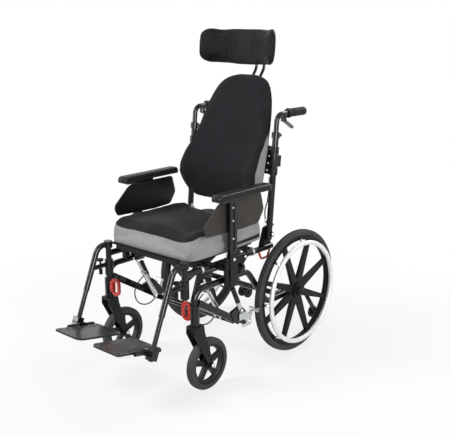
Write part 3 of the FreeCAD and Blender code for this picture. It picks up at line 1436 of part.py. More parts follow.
def extension():
    """Sliding footrest tube with its clamp block and the footplate's hinge rod."""
    x = d.rail_x
    top, end = d.extension_high_z, d.extension_end_z
    tube = rod("extension", (x, hanger_y(end), end), (x, hanger_y(top), top), d.extension_tube)
    lean = Rotation(Vector(1, 0, 0), -number_of(d.foot_toe_up))
    c, s = cosine(d.foot_toe_up), sine(d.foot_toe_up)
    hinge = (d.foot_hinge_x, d.foot_hinge_y, d.foot_hinge_z)
    half = 14
    corner = (d.foot_hinge_x - 7, hinge[1] - half * c - 12 * s, hinge[2] + half * s - 12 * c)
    clamp = block("foot_clamp", (0, 0, 0), (d.rail_x - d.foot_hinge_x + 21, half * 2, 24), lean, corner)
    foot = end + 4
    along, up = sine(d.hanger_slope), cosine(d.hanger_slope)
    corner = (d.rail_x - 13, hanger_y(foot) - 15 * along, foot + 15 * up)
    steep = Rotation(Vector(1, 0, 0), number_of(d.hanger_slope) - 90)
    sleeve = block("clamp_sleeve", (0, 0, 0), (30, 30, 50), steep, corner)
    start = (d.foot_hinge_x, hinge[1] + c * 62, hinge[2] - s * 62)
    stop = (d.foot_hinge_x, hinge[1] - c * 64, hinge[2] + s * 64)
    pair("hanger_extension", joined("hanger_extension",
                                    [tube, clamp, sleeve, rod("foot_rod", start, stop, 5)]))


def footplate():
    """Flip-up plate with rounded corners and two hinge lugs."""
    body = new_body("foot_plate")
    plan = new_sketch(body, "XY_Plane", Placement(Vector(0, 0, -number_of(d.foot_thick) / 2), Rotation()))
    plan.setExpression("AttachmentOffset.Base.z", f"-{d.foot_thick.formula} / 2")
    bent_closed(plan, [
        ((-8 - d.foot_reach, -d.foot_front), 26), ((-8, -d.foot_front), 12), ((-8, -20), 2), ((-20, -20), 3),
        ((-20, 20), 3), ((-8, 20), 2), ((-8, d.foot_back), 12), ((-8 - d.foot_reach, d.foot_back), 20),
    ])
    pad(body, plan, d.foot_thick)
    lugs = []
    for low, high in ((-60, -24), (24, 58)):
        barrel = rod("foot_lug", (0, low, 0), (0, high, 0), 9)
        web = block("foot_web", (-12, low, -4), (0, high, 4))
        lugs.append(joined("foot_lug_parts", [barrel, web]))
    bore = rod("foot_bore", (0, -70, 0), (0, 70, 0), 5 + d.run_fit)
    item = cut("footplate", joined("foot_parts", [body] + lugs), [bore])
    lean = Rotation(Vector(1, 0, 0), -number_of(d.foot_toe_up))
    place(item, (d.foot_hinge_x, d.foot_hinge_y, d.foot_hinge_z), lean)
    pair("footplate", item)


# Cables
def release_loop():
    """Release cable that hangs from the top of a gas cylinder and loops back to its foot."""
    x = d.spring_x - 16
    case_side = d.spring_x - d.cylinder_radius - d.run_fit
    y, z = d.spring_low_y, d.spring_low_z
    cable = bent_tube("loop_cable", x, [
        (y - 72, z + 124), (y - 118, z + 100), (y - 142, z + 56), (y - 118, z + 2), (y - 46, z - 16),
        (y - 12, z + 19),
    ], [20, 26, 30, 24], 2.5)
    clips = [
        rod("loop_clip", (x - 3, y - 72, z + 124), (case_side, y - 72, z + 124), 5),
        rod("loop_stop", (x - 3, y - 12, z + 20), (case_side, y - 12, z + 20), 4),
    ]
    pair("release_loop", joined("release_loop", [cable] + clips))


def release_cables():
    """Cables clipped along the insides of the canes, from the tilt levers to the seat."""
    side = d.cane_x - d.cane_radius
    x = side - 3
    top = d.shell_low + 92
    cable = bent_tube("cane_cable", x, [
        back_point(-4, 42), back_point(-16, 72), back_point(-16, 104), back_point(0, 130), back_point(0, top),
    ], [12, 12, 14], 2.5)
    clip = rod("cable_clip", (x - 3,) + back_point(0, top - 42),
               (side - d.run_fit,) + back_point(0, top - 42), 4)
    node("release_cables", group("release_cables", both_sides([joined("cable_parts", [cable, clip])])))


rear_tyre()
rear_rim()
handrim()
caster_fork()
caster_wheel()
side_frame()
lower_bar()
cross_tubes()
anti_tip()
tie_downs()
gas_springs()
wheel_lock()
seat_rails()
seat_pan()
seat_brackets()
seat_cushion()
armrest_sockets()
armrest()
back_canes()
back_mounts(back_shell())
back_cushion()
push_handle()
headrest()
hanger()
extension()
footplate()
release_loop()
release_cables()
doc.recompute()

# The origin goes under the middle of the chair's length
front = PARTS["footplate_left"].Shape.optimalBoundingBox(False).YMin
rear = PARTS["anti_tip_roller_left"].Shape.optimalBoundingBox(False).YMax
sheet.set("B1", str(round(-(front + rear) / 2, 2)))
doc.recompute()

for item in doc.Objects:
    if "Invalid" in item.State or "Error" in item.State:
        raise RuntimeError(f"{item.Label} did not compute: {item.State}")

os.makedirs("parts", exist_ok=True)
for label, item in PARTS.items():
    if item.Shape.isNull() or not item.Shape.isValid():
        raise RuntimeError(f"{label} has no valid shape")
    item.Shape.exportStep(f"parts/{label}.step")
print(f"{len(PARTS)} sub-parts exported")
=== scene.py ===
"""Looks of a tilt in space wheelchair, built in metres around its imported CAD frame."""
import logging
import math
from dataclasses import dataclass
from enum import Enum
from typing import Callable, Sequence

import bmesh
import bpy
import numpy as np
from mathutils import Matrix, Vector
from mathutils.bvhtree import BVHTree


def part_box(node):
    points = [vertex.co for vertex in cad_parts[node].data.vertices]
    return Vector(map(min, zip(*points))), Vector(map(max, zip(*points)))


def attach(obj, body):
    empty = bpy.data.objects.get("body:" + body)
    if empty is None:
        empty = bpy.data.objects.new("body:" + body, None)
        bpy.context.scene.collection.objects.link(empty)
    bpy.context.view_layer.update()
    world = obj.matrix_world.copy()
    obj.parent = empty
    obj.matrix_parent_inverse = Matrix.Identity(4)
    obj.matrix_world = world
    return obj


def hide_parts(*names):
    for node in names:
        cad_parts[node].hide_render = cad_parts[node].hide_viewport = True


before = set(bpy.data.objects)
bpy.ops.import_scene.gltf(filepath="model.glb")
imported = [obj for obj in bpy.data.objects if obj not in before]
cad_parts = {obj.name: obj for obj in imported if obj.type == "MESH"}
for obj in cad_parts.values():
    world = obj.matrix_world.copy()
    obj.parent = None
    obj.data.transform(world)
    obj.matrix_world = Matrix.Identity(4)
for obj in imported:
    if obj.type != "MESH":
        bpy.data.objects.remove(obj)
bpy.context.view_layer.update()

TYRE_LOW, TYRE_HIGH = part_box("rear_tyre_left")
AXLE_Y = (TYRE_LOW.y + TYRE_HIGH.y) / 2
AXLE_Z = (TYRE_LOW.z + TYRE_HIGH.z) / 2
SIDES = (("left", 1.0), ("right", -1.0))

log = logging.getLogger("wheelchair")
Colour = tuple[float, float, float]
Mesh = tuple[list, list]


# Node trees
class Graph:
    """Short calls for adding and joining the nodes of one tree."""

    def __init__(self, tree: bpy.types.NodeTree) -> None:
        """Takes the tree to fill."""
        self.tree = tree

    def add(self, kind: str, inputs: dict | None = None, **settings: object) -> bpy.types.Node:
        """Adds a node.

        Args:
            kind: the node's type name.
            inputs: plain values or output sockets, by input name or number.
            settings: attributes of the node.

        Returns:
            The new node.
        """
        node = self.tree.nodes.new(kind)
        for word, value in settings.items():
            setattr(node, word, value)
        for key, value in (inputs or {}).items():
            if isinstance(value, bpy.types.NodeSocket):
                self.tree.links.new(value, node.inputs[key])
            else:
                node.inputs[key].default_value = value
        return node

    def sum(self, operation: str, first: object, second: object = 0.0) -> bpy.types.NodeSocket:
        """Works out one Math node and returns its result."""
        return self.add("ShaderNodeMath", {0: first, 1: second}, operation=operation).outputs[0]

    def ramp(self, value: object, low: float, high: float) -> bpy.types.NodeSocket:
        """Turns a value into 0 below low and 1 above high, smoothly between."""
        node = self.add("ShaderNodeMapRange", {"Value": value, "From Min": low, "From Max": high},
                        interpolation_type="SMOOTHSTEP")
        return node.outputs["Result"]

    def mix(self, share: object, first: object, second: object) -> bpy.types.NodeSocket:
        """Mixes two colours by a share and returns the result."""
        node = self.add("ShaderNodeMix", {0: share, 6: first, 7: second}, data_type="RGBA")
        return node.outputs[2]


def new_group(name: str, kind: str, inputs: dict[str, tuple], outputs: dict[str, str]) -> Graph:
    """Starts a node group with named sockets.

    Args:
        name: the group's name.
        kind: ShaderNodeTree or GeometryNodeTree.
        inputs: socket type and default value, or None, by name.
        outputs: socket type by name.

    Returns:
        The group as a graph.
    """
    tree = bpy.data.node_groups.new(name, kind)
    for word, (socket, value) in inputs.items():
        made = tree.interface.new_socket(word, in_out="INPUT", socket_type=socket)
        if value is not None:
            made.default_value = value
    for word, socket in outputs.items():
        tree.interface.new_socket(word, in_out="OUTPUT", socket_type=socket)
    return Graph(tree)


FLOAT = "NodeSocketFloat"


class Pattern(Enum):
    """Surface patterns that materials share, each one a shader group."""

    PEEL = "paint_ripple"
    GRAIN = "moulded_grain"
    KNIT = "knitted_cloth"
    CLOTH = "woven_cloth"
    BRUSHED = "drawn_metal"
    SKIN = "soft_skin"


class Groups:
    """Shader groups, each made once when it's first used."""

    def __init__(self) -> None:
        """Starts with no group."""
        self.made: dict[str, bpy.types.NodeTree] = {}

    def get(self, name: str) -> bpy.types.NodeTree:
        """Returns the group of that name, made if it isn't there yet."""
        if name not in self.made:
            self.made[name] = getattr(self, name)()
        return self.made[name]

    @staticmethod
    def start(name: str, inputs: dict[str, tuple], outputs: dict[str, str]) -> tuple:
        """Starts a shader group and returns its graph, its inputs, its output node and Object coordinates."""
        graph = new_group(name, "ShaderNodeTree", inputs, outputs)
        given = graph.add("NodeGroupInput").outputs
        end = graph.add("NodeGroupOutput")
        where = graph.add("ShaderNodeTexCoord").outputs["Object"]
        return graph, given, end, where

    def pattern(self, name: str) -> tuple:
        """Starts a pattern group, whose Height runs from 0 to 1."""
        return self.start(name, {"Scale": (FLOAT, 500.0)}, {"Height": FLOAT})

    def paint_ripple(self) -> bpy.types.NodeTree:
        """Soft ripple of a sprayed gloss coat."""
        graph, given, end, where = self.pattern("paint_ripple")
        noise = graph.add("ShaderNodeTexNoise", {"Vector": where, "Scale": given["Scale"], "Detail": 1.0})
        graph.tree.links.new(noise.outputs[0], end.inputs["Height"])
        return graph.tree

    def moulded_grain(self) -> bpy.types.NodeTree:
        """Fine pebbled grain of moulded plastic."""
        graph, given, end, where = self.pattern("moulded_grain")
        cells = graph.add("ShaderNodeTexVoronoi", {"Vector": where, "Scale": given["Scale"]})
        noise = graph.add("ShaderNodeTexNoise", {"Vector": where, "Scale": given["Scale"], "Detail": 3.0})
        height = graph.sum("MULTIPLY", cells.outputs["Distance"], noise.outputs[0])
        graph.tree.links.new(height, end.inputs["Height"])
        return graph.tree

    def soft_skin(self) -> bpy.types.NodeTree:
        """Creased skin of coated foam."""
        graph, given, end, where = self.pattern("soft_skin")
        cells = graph.add("ShaderNodeTexVoronoi", {"Vector": where, "Scale": given["Scale"]},
                          feature="DISTANCE_TO_EDGE")
        height = graph.ramp(cells.outputs["Distance"], 0.0, 0.25)
        graph.tree.links.new(height, end.inputs["Height"])
        return graph.tree

    def knitted_cloth(self) -> bpy.types.NodeTree:
        """Open cells of a knitted spacer mesh."""
        graph, given, end, where = self.pattern("knitted_cloth")
        cells = graph.add("ShaderNodeTexVoronoi",
                          {"Vector": where, "Scale": given["Scale"], "Randomness": 0.85})
        height = graph.ramp(cells.outputs["Distance"], 0.75, 0.2)
        graph.tree.links.new(graph.sum("SUBTRACT", 1.0, height), end.inputs["Height"])
        return graph.tree

    def woven_cloth(self) -> bpy.types.NodeTree:
        """Fine threads of a stretch cover, crossed at right angles."""
        graph, given, end, where = self.pattern("woven_cloth")
        slow = graph.sum("MULTIPLY", given["Scale"], 0.05)
        bend = graph.add("ShaderNodeTexNoise", {"Vector": where, "Scale": slow, "Detail": 2.0})
        waves = [
            graph.add("ShaderNodeTexWave", {"Vector": where, "Scale": given["Scale"], "Distortion": 2.5},
                      bands_direction=axis).outputs[1]
            for axis in ("X", "Z", "Y")
        ]
        height = graph.sum("MULTIPLY", graph.sum("ADD", waves[0], waves[1]), graph.sum("ADD", waves[2], 0.6))
        graph.tree.links.new(graph.sum("ADD", graph.sum("MULTIPLY", height, 0.3), bend.outputs[0]),
                             end.inputs["Height"])
        return graph.tree

    def drawn_metal(self) -> bpy.types.NodeTree:
        """Fine scratches along a drawn or turned bar."""
        graph, given, end, where = self.pattern("drawn_metal")
        long = graph.add("ShaderNodeMapping", {"Vector": where, "Scale": (1.0, 0.12, 0.12)})
        noise = graph.add("ShaderNodeTexNoise",
                          {"Vector": long.outputs[0], "Scale": given["Scale"], "Detail": 4.0})
        graph.tree.links.new(noise.outputs[0], end.inputs["Height"])
        return graph.tree

    def uneven_tone(self) -> bpy.types.NodeTree:
        """Slow patches and light specks that vary a colour and its gloss."""
        graph, given, end, where = self.start("uneven_tone", {"Scale": (FLOAT, 8.0)},
                                              {"Mask": FLOAT, "Specks": FLOAT})
        patches = graph.add("ShaderNodeTexNoise", {"Vector": where, "Scale": given["Scale"], "Detail": 5.0})
        fine = graph.sum("MULTIPLY", given["Scale"], 40.0)
        specks = graph.add("ShaderNodeTexNoise", {"Vector": where, "Scale": fine, "Detail": 2.0})
        graph.tree.links.new(graph.ramp(patches.outputs[0], 0.35, 0.65), end.inputs["Mask"])
        graph.tree.links.new(graph.ramp(specks.outputs[0], 0.62, 0.75), end.inputs["Specks"])
        return graph.tree

    def settled_dust(self) -> bpy.types.NodeTree:
        """Thin dust on faces that look up."""
        graph, given, end, where = self.start("settled_dust", {"Amount": (FLOAT, 0.1)}, {"Mask": FLOAT})
        normal = graph.add("ShaderNodeNewGeometry").outputs["Normal"]
        up = graph.add("ShaderNodeSeparateXYZ", {0: normal}).outputs["Z"]
        noise = graph.add("ShaderNodeTexNoise", {"Vector": where, "Scale": 35.0, "Detail": 6.0})
        mask = graph.sum("MULTIPLY", graph.ramp(up, 0.3, 1.0), graph.ramp(noise.outputs[0], 0.3, 0.7))
        graph.tree.links.new(graph.sum("MULTIPLY", mask, given["Amount"]), end.inputs["Mask"])
        return graph.tree

    def side_zone(self) -> bpy.types.NodeTree:
        """Mask of what lies further from the middle plane than a reach."""
        graph, given, end, where = self.start("side_zone", {"Reach": (FLOAT, 0.3)}, {"Mask": FLOAT})
        across = graph.sum("ABSOLUTE", graph.add("ShaderNodeSeparateXYZ", {0: where}).outputs["X"])
        graph.tree.links.new(graph.sum("GREATER_THAN", across, given["Reach"]), end.inputs["Mask"])
        return graph.tree

    def outer_face(self) -> bpy.types.NodeTree:
        """Mask of the faces that look away from the middle plane."""
        graph, given, end, where = self.start("outer_face", {"Level": (FLOAT, -0.05)}, {"Mask": FLOAT})
        across = graph.add("ShaderNodeSeparateXYZ", {0: where}).outputs["X"]
        normal = graph.add("ShaderNodeNewGeometry").outputs["True Normal"]
        facing = graph.add("ShaderNodeSeparateXYZ", {0: normal}).outputs["X"]
        outward = graph.sum("MULTIPLY", across, facing)
        graph.tree.links.new(graph.sum("GREATER_THAN", outward, given["Level"]), end.inputs["Mask"])
        return graph.tree

    def wheel_zone(self) -> bpy.types.NodeTree:
        """Mask of what lies further from a wheel's axle than a radius."""
        graph, given, end, where = self.start(
            "wheel_zone", {"Axle": ("NodeSocketVector", (0.0, 0.0, 0.0)),
                           "Radius": (FLOAT, 0.08)}, {"Mask": FLOAT})
        offset = graph.add("ShaderNodeVectorMath", {0: where, 1: given["Axle"]}, operation="SUBTRACT")
        flat = graph.add("ShaderNodeVectorMath", {0: offset.outputs[0], 1: (0.0, 1.0, 1.0)},
                         operation="MULTIPLY")
        reach = graph.add("ShaderNodeVectorMath", {0: flat.outputs[0]}, operation="LENGTH").outputs["Value"]
        graph.tree.links.new(graph.sum("GREATER_THAN", reach, given["Radius"]), end.inputs["Mask"])
        return graph.tree


GROUPS = Groups()


@dataclass(frozen=True)
class Finish:
    """A surface finish. Scales are per metre and depths in metres."""

    name: str
    colour: Colour
    second: Colour
    rough: float
    rough_spread: float = 0.08
    metal: float = 0.0
    coat: float = 0.0
    coat_rough: float = 0.04
    sheen: float = 0.0
    specular: float = 0.22
    pattern: Pattern = Pattern.GRAIN
    scale: float = 900.0
    depth: float = 0.0001
    patch: float = 8.0
    dust: float = 0.015

    def values(self, graph: Graph) -> tuple:
        """Adds the nodes of the finish.

        Args:
            graph: the material's graph.

        Returns:
            Sockets of the colour, the roughness and the height.
        """
        tone = graph.add("ShaderNodeGroup", node_tree=GROUPS.get("uneven_tone"))
        tone.inputs["Scale"].default_value = self.patch
        dust = graph.add("ShaderNodeGroup", node_tree=GROUPS.get("settled_dust"))
        dust.inputs["Amount"].default_value = self.dust
        relief = graph.add("ShaderNodeGroup", node_tree=GROUPS.get(self.pattern.value))
        relief.inputs["Scale"].default_value = self.scale
        colour = graph.mix(tone.outputs["Mask"], (*self.colour, 1.0), (*self.second, 1.0))
        # Darkens the low parts of the knit and weave by the relief: painted shade in the gaps between threads, and for
        # the knit partly the darker inner layer seen through its open cells.
        if self.pattern in (Pattern.KNIT, Pattern.CLOTH):
            gap_shade = tuple(part * 0.6 for part in self.colour)
            colour = graph.mix(relief.outputs["Height"], (*gap_shade, 1.0), colour)
        colour = graph.mix(dust.outputs["Mask"], colour, (0.22, 0.21, 0.20, 1.0))
        rough = graph.sum("ADD", graph.sum("MULTIPLY", tone.outputs["Mask"], self.rough_spread), self.rough)
        rough = graph.sum("ADD", rough, graph.sum("MULTIPLY", tone.outputs["Specks"], self.rough_spread / 2))
        return colour, rough, relief.outputs["Height"]

    def close(self, graph: Graph, colour: object, rough: object, height: object) -> None:
        """Ends the material in a Principled shader with a bump."""
        bump = graph.add("ShaderNodeBump", {"Height": height, "Strength": 0.6, "Distance": self.depth})
        shader = graph.add("ShaderNodeBsdfPrincipled", {
            "Base Color": colour, "Roughness": rough, "Normal": bump.outputs[0], "Metallic": self.metal,
            "Coat Weight": self.coat, "Coat Roughness": self.coat_rough, "Sheen Weight": self.sheen,
            "Specular IOR Level": self.specular,
        })
        end = graph.add("ShaderNodeOutputMaterial")
        graph.tree.links.new(shader.outputs[0], end.inputs["Surface"])

    def build(self) -> bpy.types.Material:
        """Builds the material and returns it."""
        material = bpy.data.materials.new(self.name)
        material.use_nodes = True
        material.node_tree.nodes.clear()
        graph = Graph(material.node_tree)
        self.close(graph, *self.values(graph))
        return material


@dataclass(frozen=True)
class TwoPartFinish:
    """Two finishes on one piece, divided by an attribute, by the way faces look or by a distance."""

    name: str
    inner: Finish
    outer: Finish
    attribute: str = ""
    axle: tuple[float, float, float] = (0.0, 0.0, 0.0)
    radius: float = 0.0
    line: float = 0.0
    reach: float = 0.0
    faces: bool = False

    def build(self) -> bpy.types.Material:
        """Builds the material and returns it."""
        material = bpy.data.materials.new(self.name)
        material.use_nodes = True
        material.node_tree.nodes.clear()
        graph = Graph(material.node_tree)
        if self.attribute:
            value = graph.add("ShaderNodeAttribute", attribute_name=self.attribute).outputs["Fac"]
            mask = graph.ramp(value, -0.0005, 0.0005)
        elif self.faces:
            zone = graph.add("ShaderNodeGroup", node_tree=GROUPS.get("outer_face"))
            mask = zone.outputs["Mask"]
        elif self.reach:
            zone = graph.add("ShaderNodeGroup", node_tree=GROUPS.get("side_zone"))
            zone.inputs["Reach"].default_value = self.reach
            mask = zone.outputs["Mask"]
        else:
            zone = graph.add("ShaderNodeGroup", node_tree=GROUPS.get("wheel_zone"))
            zone.inputs["Axle"].default_value = self.axle
            zone.inputs["Radius"].default_value = self.radius
            mask = zone.outputs["Mask"]
        first = self.inner.values(graph)
        second = self.outer.values(graph)
        colour = graph.mix(mask, first[0], second[0])
        if self.attribute:
            near = graph.ramp(graph.sum("ABSOLUTE", value), self.line, self.line * 0.4)
            colour = graph.mix(near, colour, (0.02, 0.02, 0.022, 1.0))
        mixed = [
            graph.add("ShaderNodeMix", {0: mask, 2: first[part],
                                        3: second[part]}).outputs[0] for part in (1, 2)
        ]
        self.outer.close(graph, colour, *mixed)
        return material


GLOSS_BLACK = Finish("gloss_black_paint", (0.005, 0.005, 0.006), (0.008, 0.008, 0.009), 0.16, coat=0.5,
                     specular=0.10,
                     pattern=Pattern.PEEL, scale=260.0, depth=0.00012, patch=14.0)
SATIN_BLACK = Finish("satin_black_paint", (0.007, 0.007, 0.008), (0.011, 0.011, 0.012), 0.34, coat=0.2,
                     coat_rough=0.15, specular=0.10, pattern=Pattern.PEEL, scale=500.0)
MOULDED_BLACK = Finish("moulded_black", (0.010, 0.010, 0.011), (0.015, 0.015, 0.016), 0.40, specular=0.12,
                       scale=1400.0)
GUARD_BROWN = Finish("guard_outside", (0.036, 0.032, 0.028), (0.046, 0.041, 0.036), 0.45, scale=1600.0,
                     dust=0.06)
PLATE_BROWN = Finish("footplate_sheet", (0.017, 0.0165, 0.017), (0.027, 0.026, 0.027), 0.30, scale=1200.0,
                     coat=0.25, coat_rough=0.15, specular=0.15, dust=0.10)
TYRE_RUBBER = Finish("tyre_rubber", (0.040, 0.041, 0.044), (0.056, 0.057, 0.060), 0.58, specular=0.2,
                     pattern=Pattern.GRAIN, scale=700.0, depth=0.00015, dust=0.05)
SOFT_RUBBER = Finish("soft_rubber", (0.012, 0.012, 0.013), (0.020, 0.020, 0.021), 0.50, scale=1100.0)
SILVER_RING = Finish("anodised_ring", (0.93, 0.935, 0.94), (0.88, 0.885, 0.90), 0.34, metal=0.3, coat=0.3,
                     coat_rough=0.1, pattern=Pattern.BRUSHED, scale=900.0, depth=0.00004, dust=0.0)
CHROME = Finish("polished_steel", (0.74, 0.76, 0.77), (0.66, 0.68, 0.69), 0.14, metal=1.0,
                pattern=Pattern.BRUSHED, scale=1200.0, depth=0.00003, dust=0.02)
ZINC = Finish("zinc_plate", (0.62, 0.64, 0.63), (0.50, 0.52, 0.51), 0.34, metal=0.9, pattern=Pattern.BRUSHED,
              scale=800.0, depth=0.00008, dust=0.02)
RED_PAINT = Finish("red_paint", (0.66, 0.030, 0.018), (0.56, 0.024, 0.014), 0.30, coat=0.6,
                   pattern=Pattern.PEEL,
                   scale=320.0, depth=0.0001)
ARM_SKIN = Finish("armrest_skin", (0.012, 0.010, 0.009), (0.020, 0.016, 0.014), 0.36, coat=0.12,
                  coat_rough=0.3, specular=0.12,
                  pattern=Pattern.SKIN, scale=620.0, depth=0.00004)
HEAD_SKIN = Finish("headrest_cover", (0.009, 0.009, 0.010), (0.014, 0.014, 0.016), 0.46, sheen=0.04,
                   specular=0.07,
                   pattern=Pattern.SKIN, scale=800.0, depth=0.0001, dust=0.03)
BLACK_CLOTH = Finish("black_stretch_cloth", (0.009, 0.010, 0.012), (0.014, 0.015, 0.018), 0.80, sheen=0.10,
                     specular=0.1,
                     pattern=Pattern.CLOTH, scale=420.0, depth=0.0003, patch=12.0)
GREY_MESH = Finish("grey_spacer_mesh", (0.435, 0.437, 0.448), (0.365, 0.367, 0.378), 0.82, sheen=0.10,
                   specular=0.1,
                   pattern=Pattern.KNIT, scale=520.0, depth=0.0004, patch=10.0, dust=0.0)
DARK_TAPE = Finish("zip_tape", (0.035, 0.035, 0.038), (0.05, 0.05, 0.052), 0.75, pattern=Pattern.CLOTH,
                   scale=700.0,
                   depth=0.0002)
THREAD = Finish("thread", (0.016, 0.016, 0.018), (0.03, 0.03, 0.032), 0.7, pattern=Pattern.CLOTH,
                scale=1500.0)
# Near-black finish for discs over holes and slots: painted shade for the dark inside of the holes.
HOLE_SHADE = Finish("slot_shadow", (0.004, 0.004, 0.004), (0.006, 0.006, 0.006), 0.7, specular=0.05)
LEVER_GREY = Finish("lever_grey", (0.13, 0.132, 0.137), (0.17, 0.172, 0.178), 0.34, scale=1200.0)
CUSHION = TwoPartFinish("seat_cover", GREY_MESH, BLACK_CLOTH, attribute="cover", line=0.0012)
# Inner faces of the guard sheet take satin black as painted shade; outer faces keep the guard's own brown.
GUARD_SHADED_INSIDE = TwoPartFinish("side_guard_sheet", SATIN_BLACK, GUARD_BROWN, faces=True)
PUSH_RING = TwoPartFinish("push_ring", MOULDED_BLACK, SILVER_RING, reach=0.2888)


class Palette:
    """Materials by finish, each built once."""

    def __init__(self) -> None:
        """Starts empty."""
        self.made: dict[str, bpy.types.Material] = {}

    def of(self, finish: Finish | TwoPartFinish) -> bpy.types.Material:
        """Returns the finish's material."""
        if finish.name not in self.made:
            self.made[finish.name] = finish.build()
        return self.made[finish.name]


PALETTE = Palette()


# Meshes
def new_piece(name: str, points: Sequence, faces: Sequence, smooth: bool = True) -> bpy.types.Object:
    """Makes a mesh object at the origin, with its faces pointing outwards.

    Args:
        name: the piece's name.
        points: its corners.
        faces: its faces, as corner numbers.
        smooth: whether it's shaded smooth.

    Returns:
        The object.
    """
    mesh = bpy.data.meshes.new(name)
    mesh.from_pydata([tuple(point) for point in points], [], [tuple(face) for face in faces])
    shape = bmesh.new()
    shape.from_mesh(mesh)
    bmesh.ops.remove_doubles(shape, verts=shape.verts, dist=1e-6)
    bmesh.ops.recalc_face_normals(shape, faces=shape.faces)
    shape.to_mesh(mesh)
    shape.free()
    mesh.polygons.foreach_set("use_smooth", [smooth] * len(mesh.polygons))
    piece = bpy.data.objects.new(name, mesh)
    bpy.context.scene.collection.objects.link(piece)
    return piece


def settle(piece: bpy.types.Object, body: str, finish: Finish | TwoPartFinish | None,
           replaced: Sequence[str] = ()) -> bpy.types.Object:
    """Dresses a piece and ties it to its body.

    Args:
        piece: the finished piece.
        body: the CAD body that it rides on.
        finish: its finish, or None if it has its material already.
        replaced: the CAD nodes that it stands for.

    Returns:
        The piece.
    """
    if finish is not None:
        piece.data.materials.clear()
        piece.data.materials.append(PALETTE.of(finish))
    if replaced:
        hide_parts(*replaced)
    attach(piece, body)
    log.info("%s rides on %s", piece.name, body)
    return piece


def sweep_rings(rings: Sequence[np.ndarray], closed: bool = False) -> Mesh:
    """Joins rings of points into a skin, capped at both ends unless it closes on itself.

    Args:
        rings: arrays of points, all of one length.
        closed: whether the last ring joins the first.

    Returns:
        Points and faces.
    """
    count = len(rings[0])
    points = np.concatenate(rings).tolist()
    faces = []
    for row in range(len(rings) if closed else len(rings) - 1):
        first, second = row * count, (row + 1) % len(rings) * count
        for step in range(count):
            after = (step + 1) % count
            faces.append((first + step, first + after, second + after, second + step))
    if not closed:
        faces.append(tuple(range(count))[::-1])
        faces.append(tuple(range(len(points) - count, len(points))))
    return points, faces


def smooth_ring(corners: Sequence[tuple[float, float]], share: int) -> np.ndarray:
    """A closed smooth line through corners, with so many points on each stretch."""
    given = np.array(corners, float)
    before, after, far = (np.roll(given, shift, 0) for shift in (1, -1, -2))
    rows = []
    for step in range(share):
        t = step / share
        rows.append(0.5 * (2 * given + (after - before) * t + (2 * before - 5 * given + 4 * after - far) * t * t
                           + (3 * given - before - 3 * after + far) * t ** 3))
    return np.stack(rows, 1).reshape(-1, 2)


def lathe(name: str, profile: Sequence[tuple[float, float]], centre: Sequence[float], axis: Sequence[float],
          steps: int = 48, loop: bool = False) -> bpy.types.Object:
    """Turns a profile round an axis.

    Args:
        name: the piece's name.
        profile: radius and distance along the axis of each point.
        centre: where the axis starts.
        axis: its direction.
        steps: points round.
        loop: whether the profile closes on itself, as a tyre's does.

    Returns:
        The object.
    """
    along = Vector(axis).normalized()
    side = along.orthogonal().normalized()
    other = along.cross(side)
    rings = []
    for radius, reach in profile:
        angles = np.arange(steps) * (2 * math.pi / steps)
        ring = np.outer(np.cos(angles), side) + np.outer(np.sin(angles), other)
        rings.append(np.array(centre) + ring * radius + np.array(along) * reach)
    return new_piece(name, *sweep_rings(rings, loop))


def coordinates(mesh: bpy.types.Mesh) -> np.ndarray:
    """The mesh's points as an array."""
    flat = np.empty(len(mesh.vertices) * 3)
    mesh.vertices.foreach_get("co", flat)
    return flat.reshape(-1, 3)


def move_to(mesh: bpy.types.Mesh, points: np.ndarray) -> None:
    """Puts the mesh's points where the array says."""
    mesh.vertices.foreach_set("co", points.ravel())
    mesh.update()


def apply_modifiers(piece: bpy.types.Object) -> None:
    """Replaces the piece's mesh by what its modifiers make of it."""
    depsgraph = bpy.context.evaluated_depsgraph_get()
    mesh = bpy.data.meshes.new_from_object(piece.evaluated_get(depsgraph), depsgraph=depsgraph)
    piece.modifiers.clear()
    piece.data = mesh
    mesh.name = piece.name


def set_attribute(mesh: bpy.types.Mesh, name: str, values: np.ndarray) -> None:
    """Stores a number on each point of the mesh."""
    mesh.attributes.new(name, "FLOAT", "POINT").data.foreach_set("value", values.astype(np.float32))


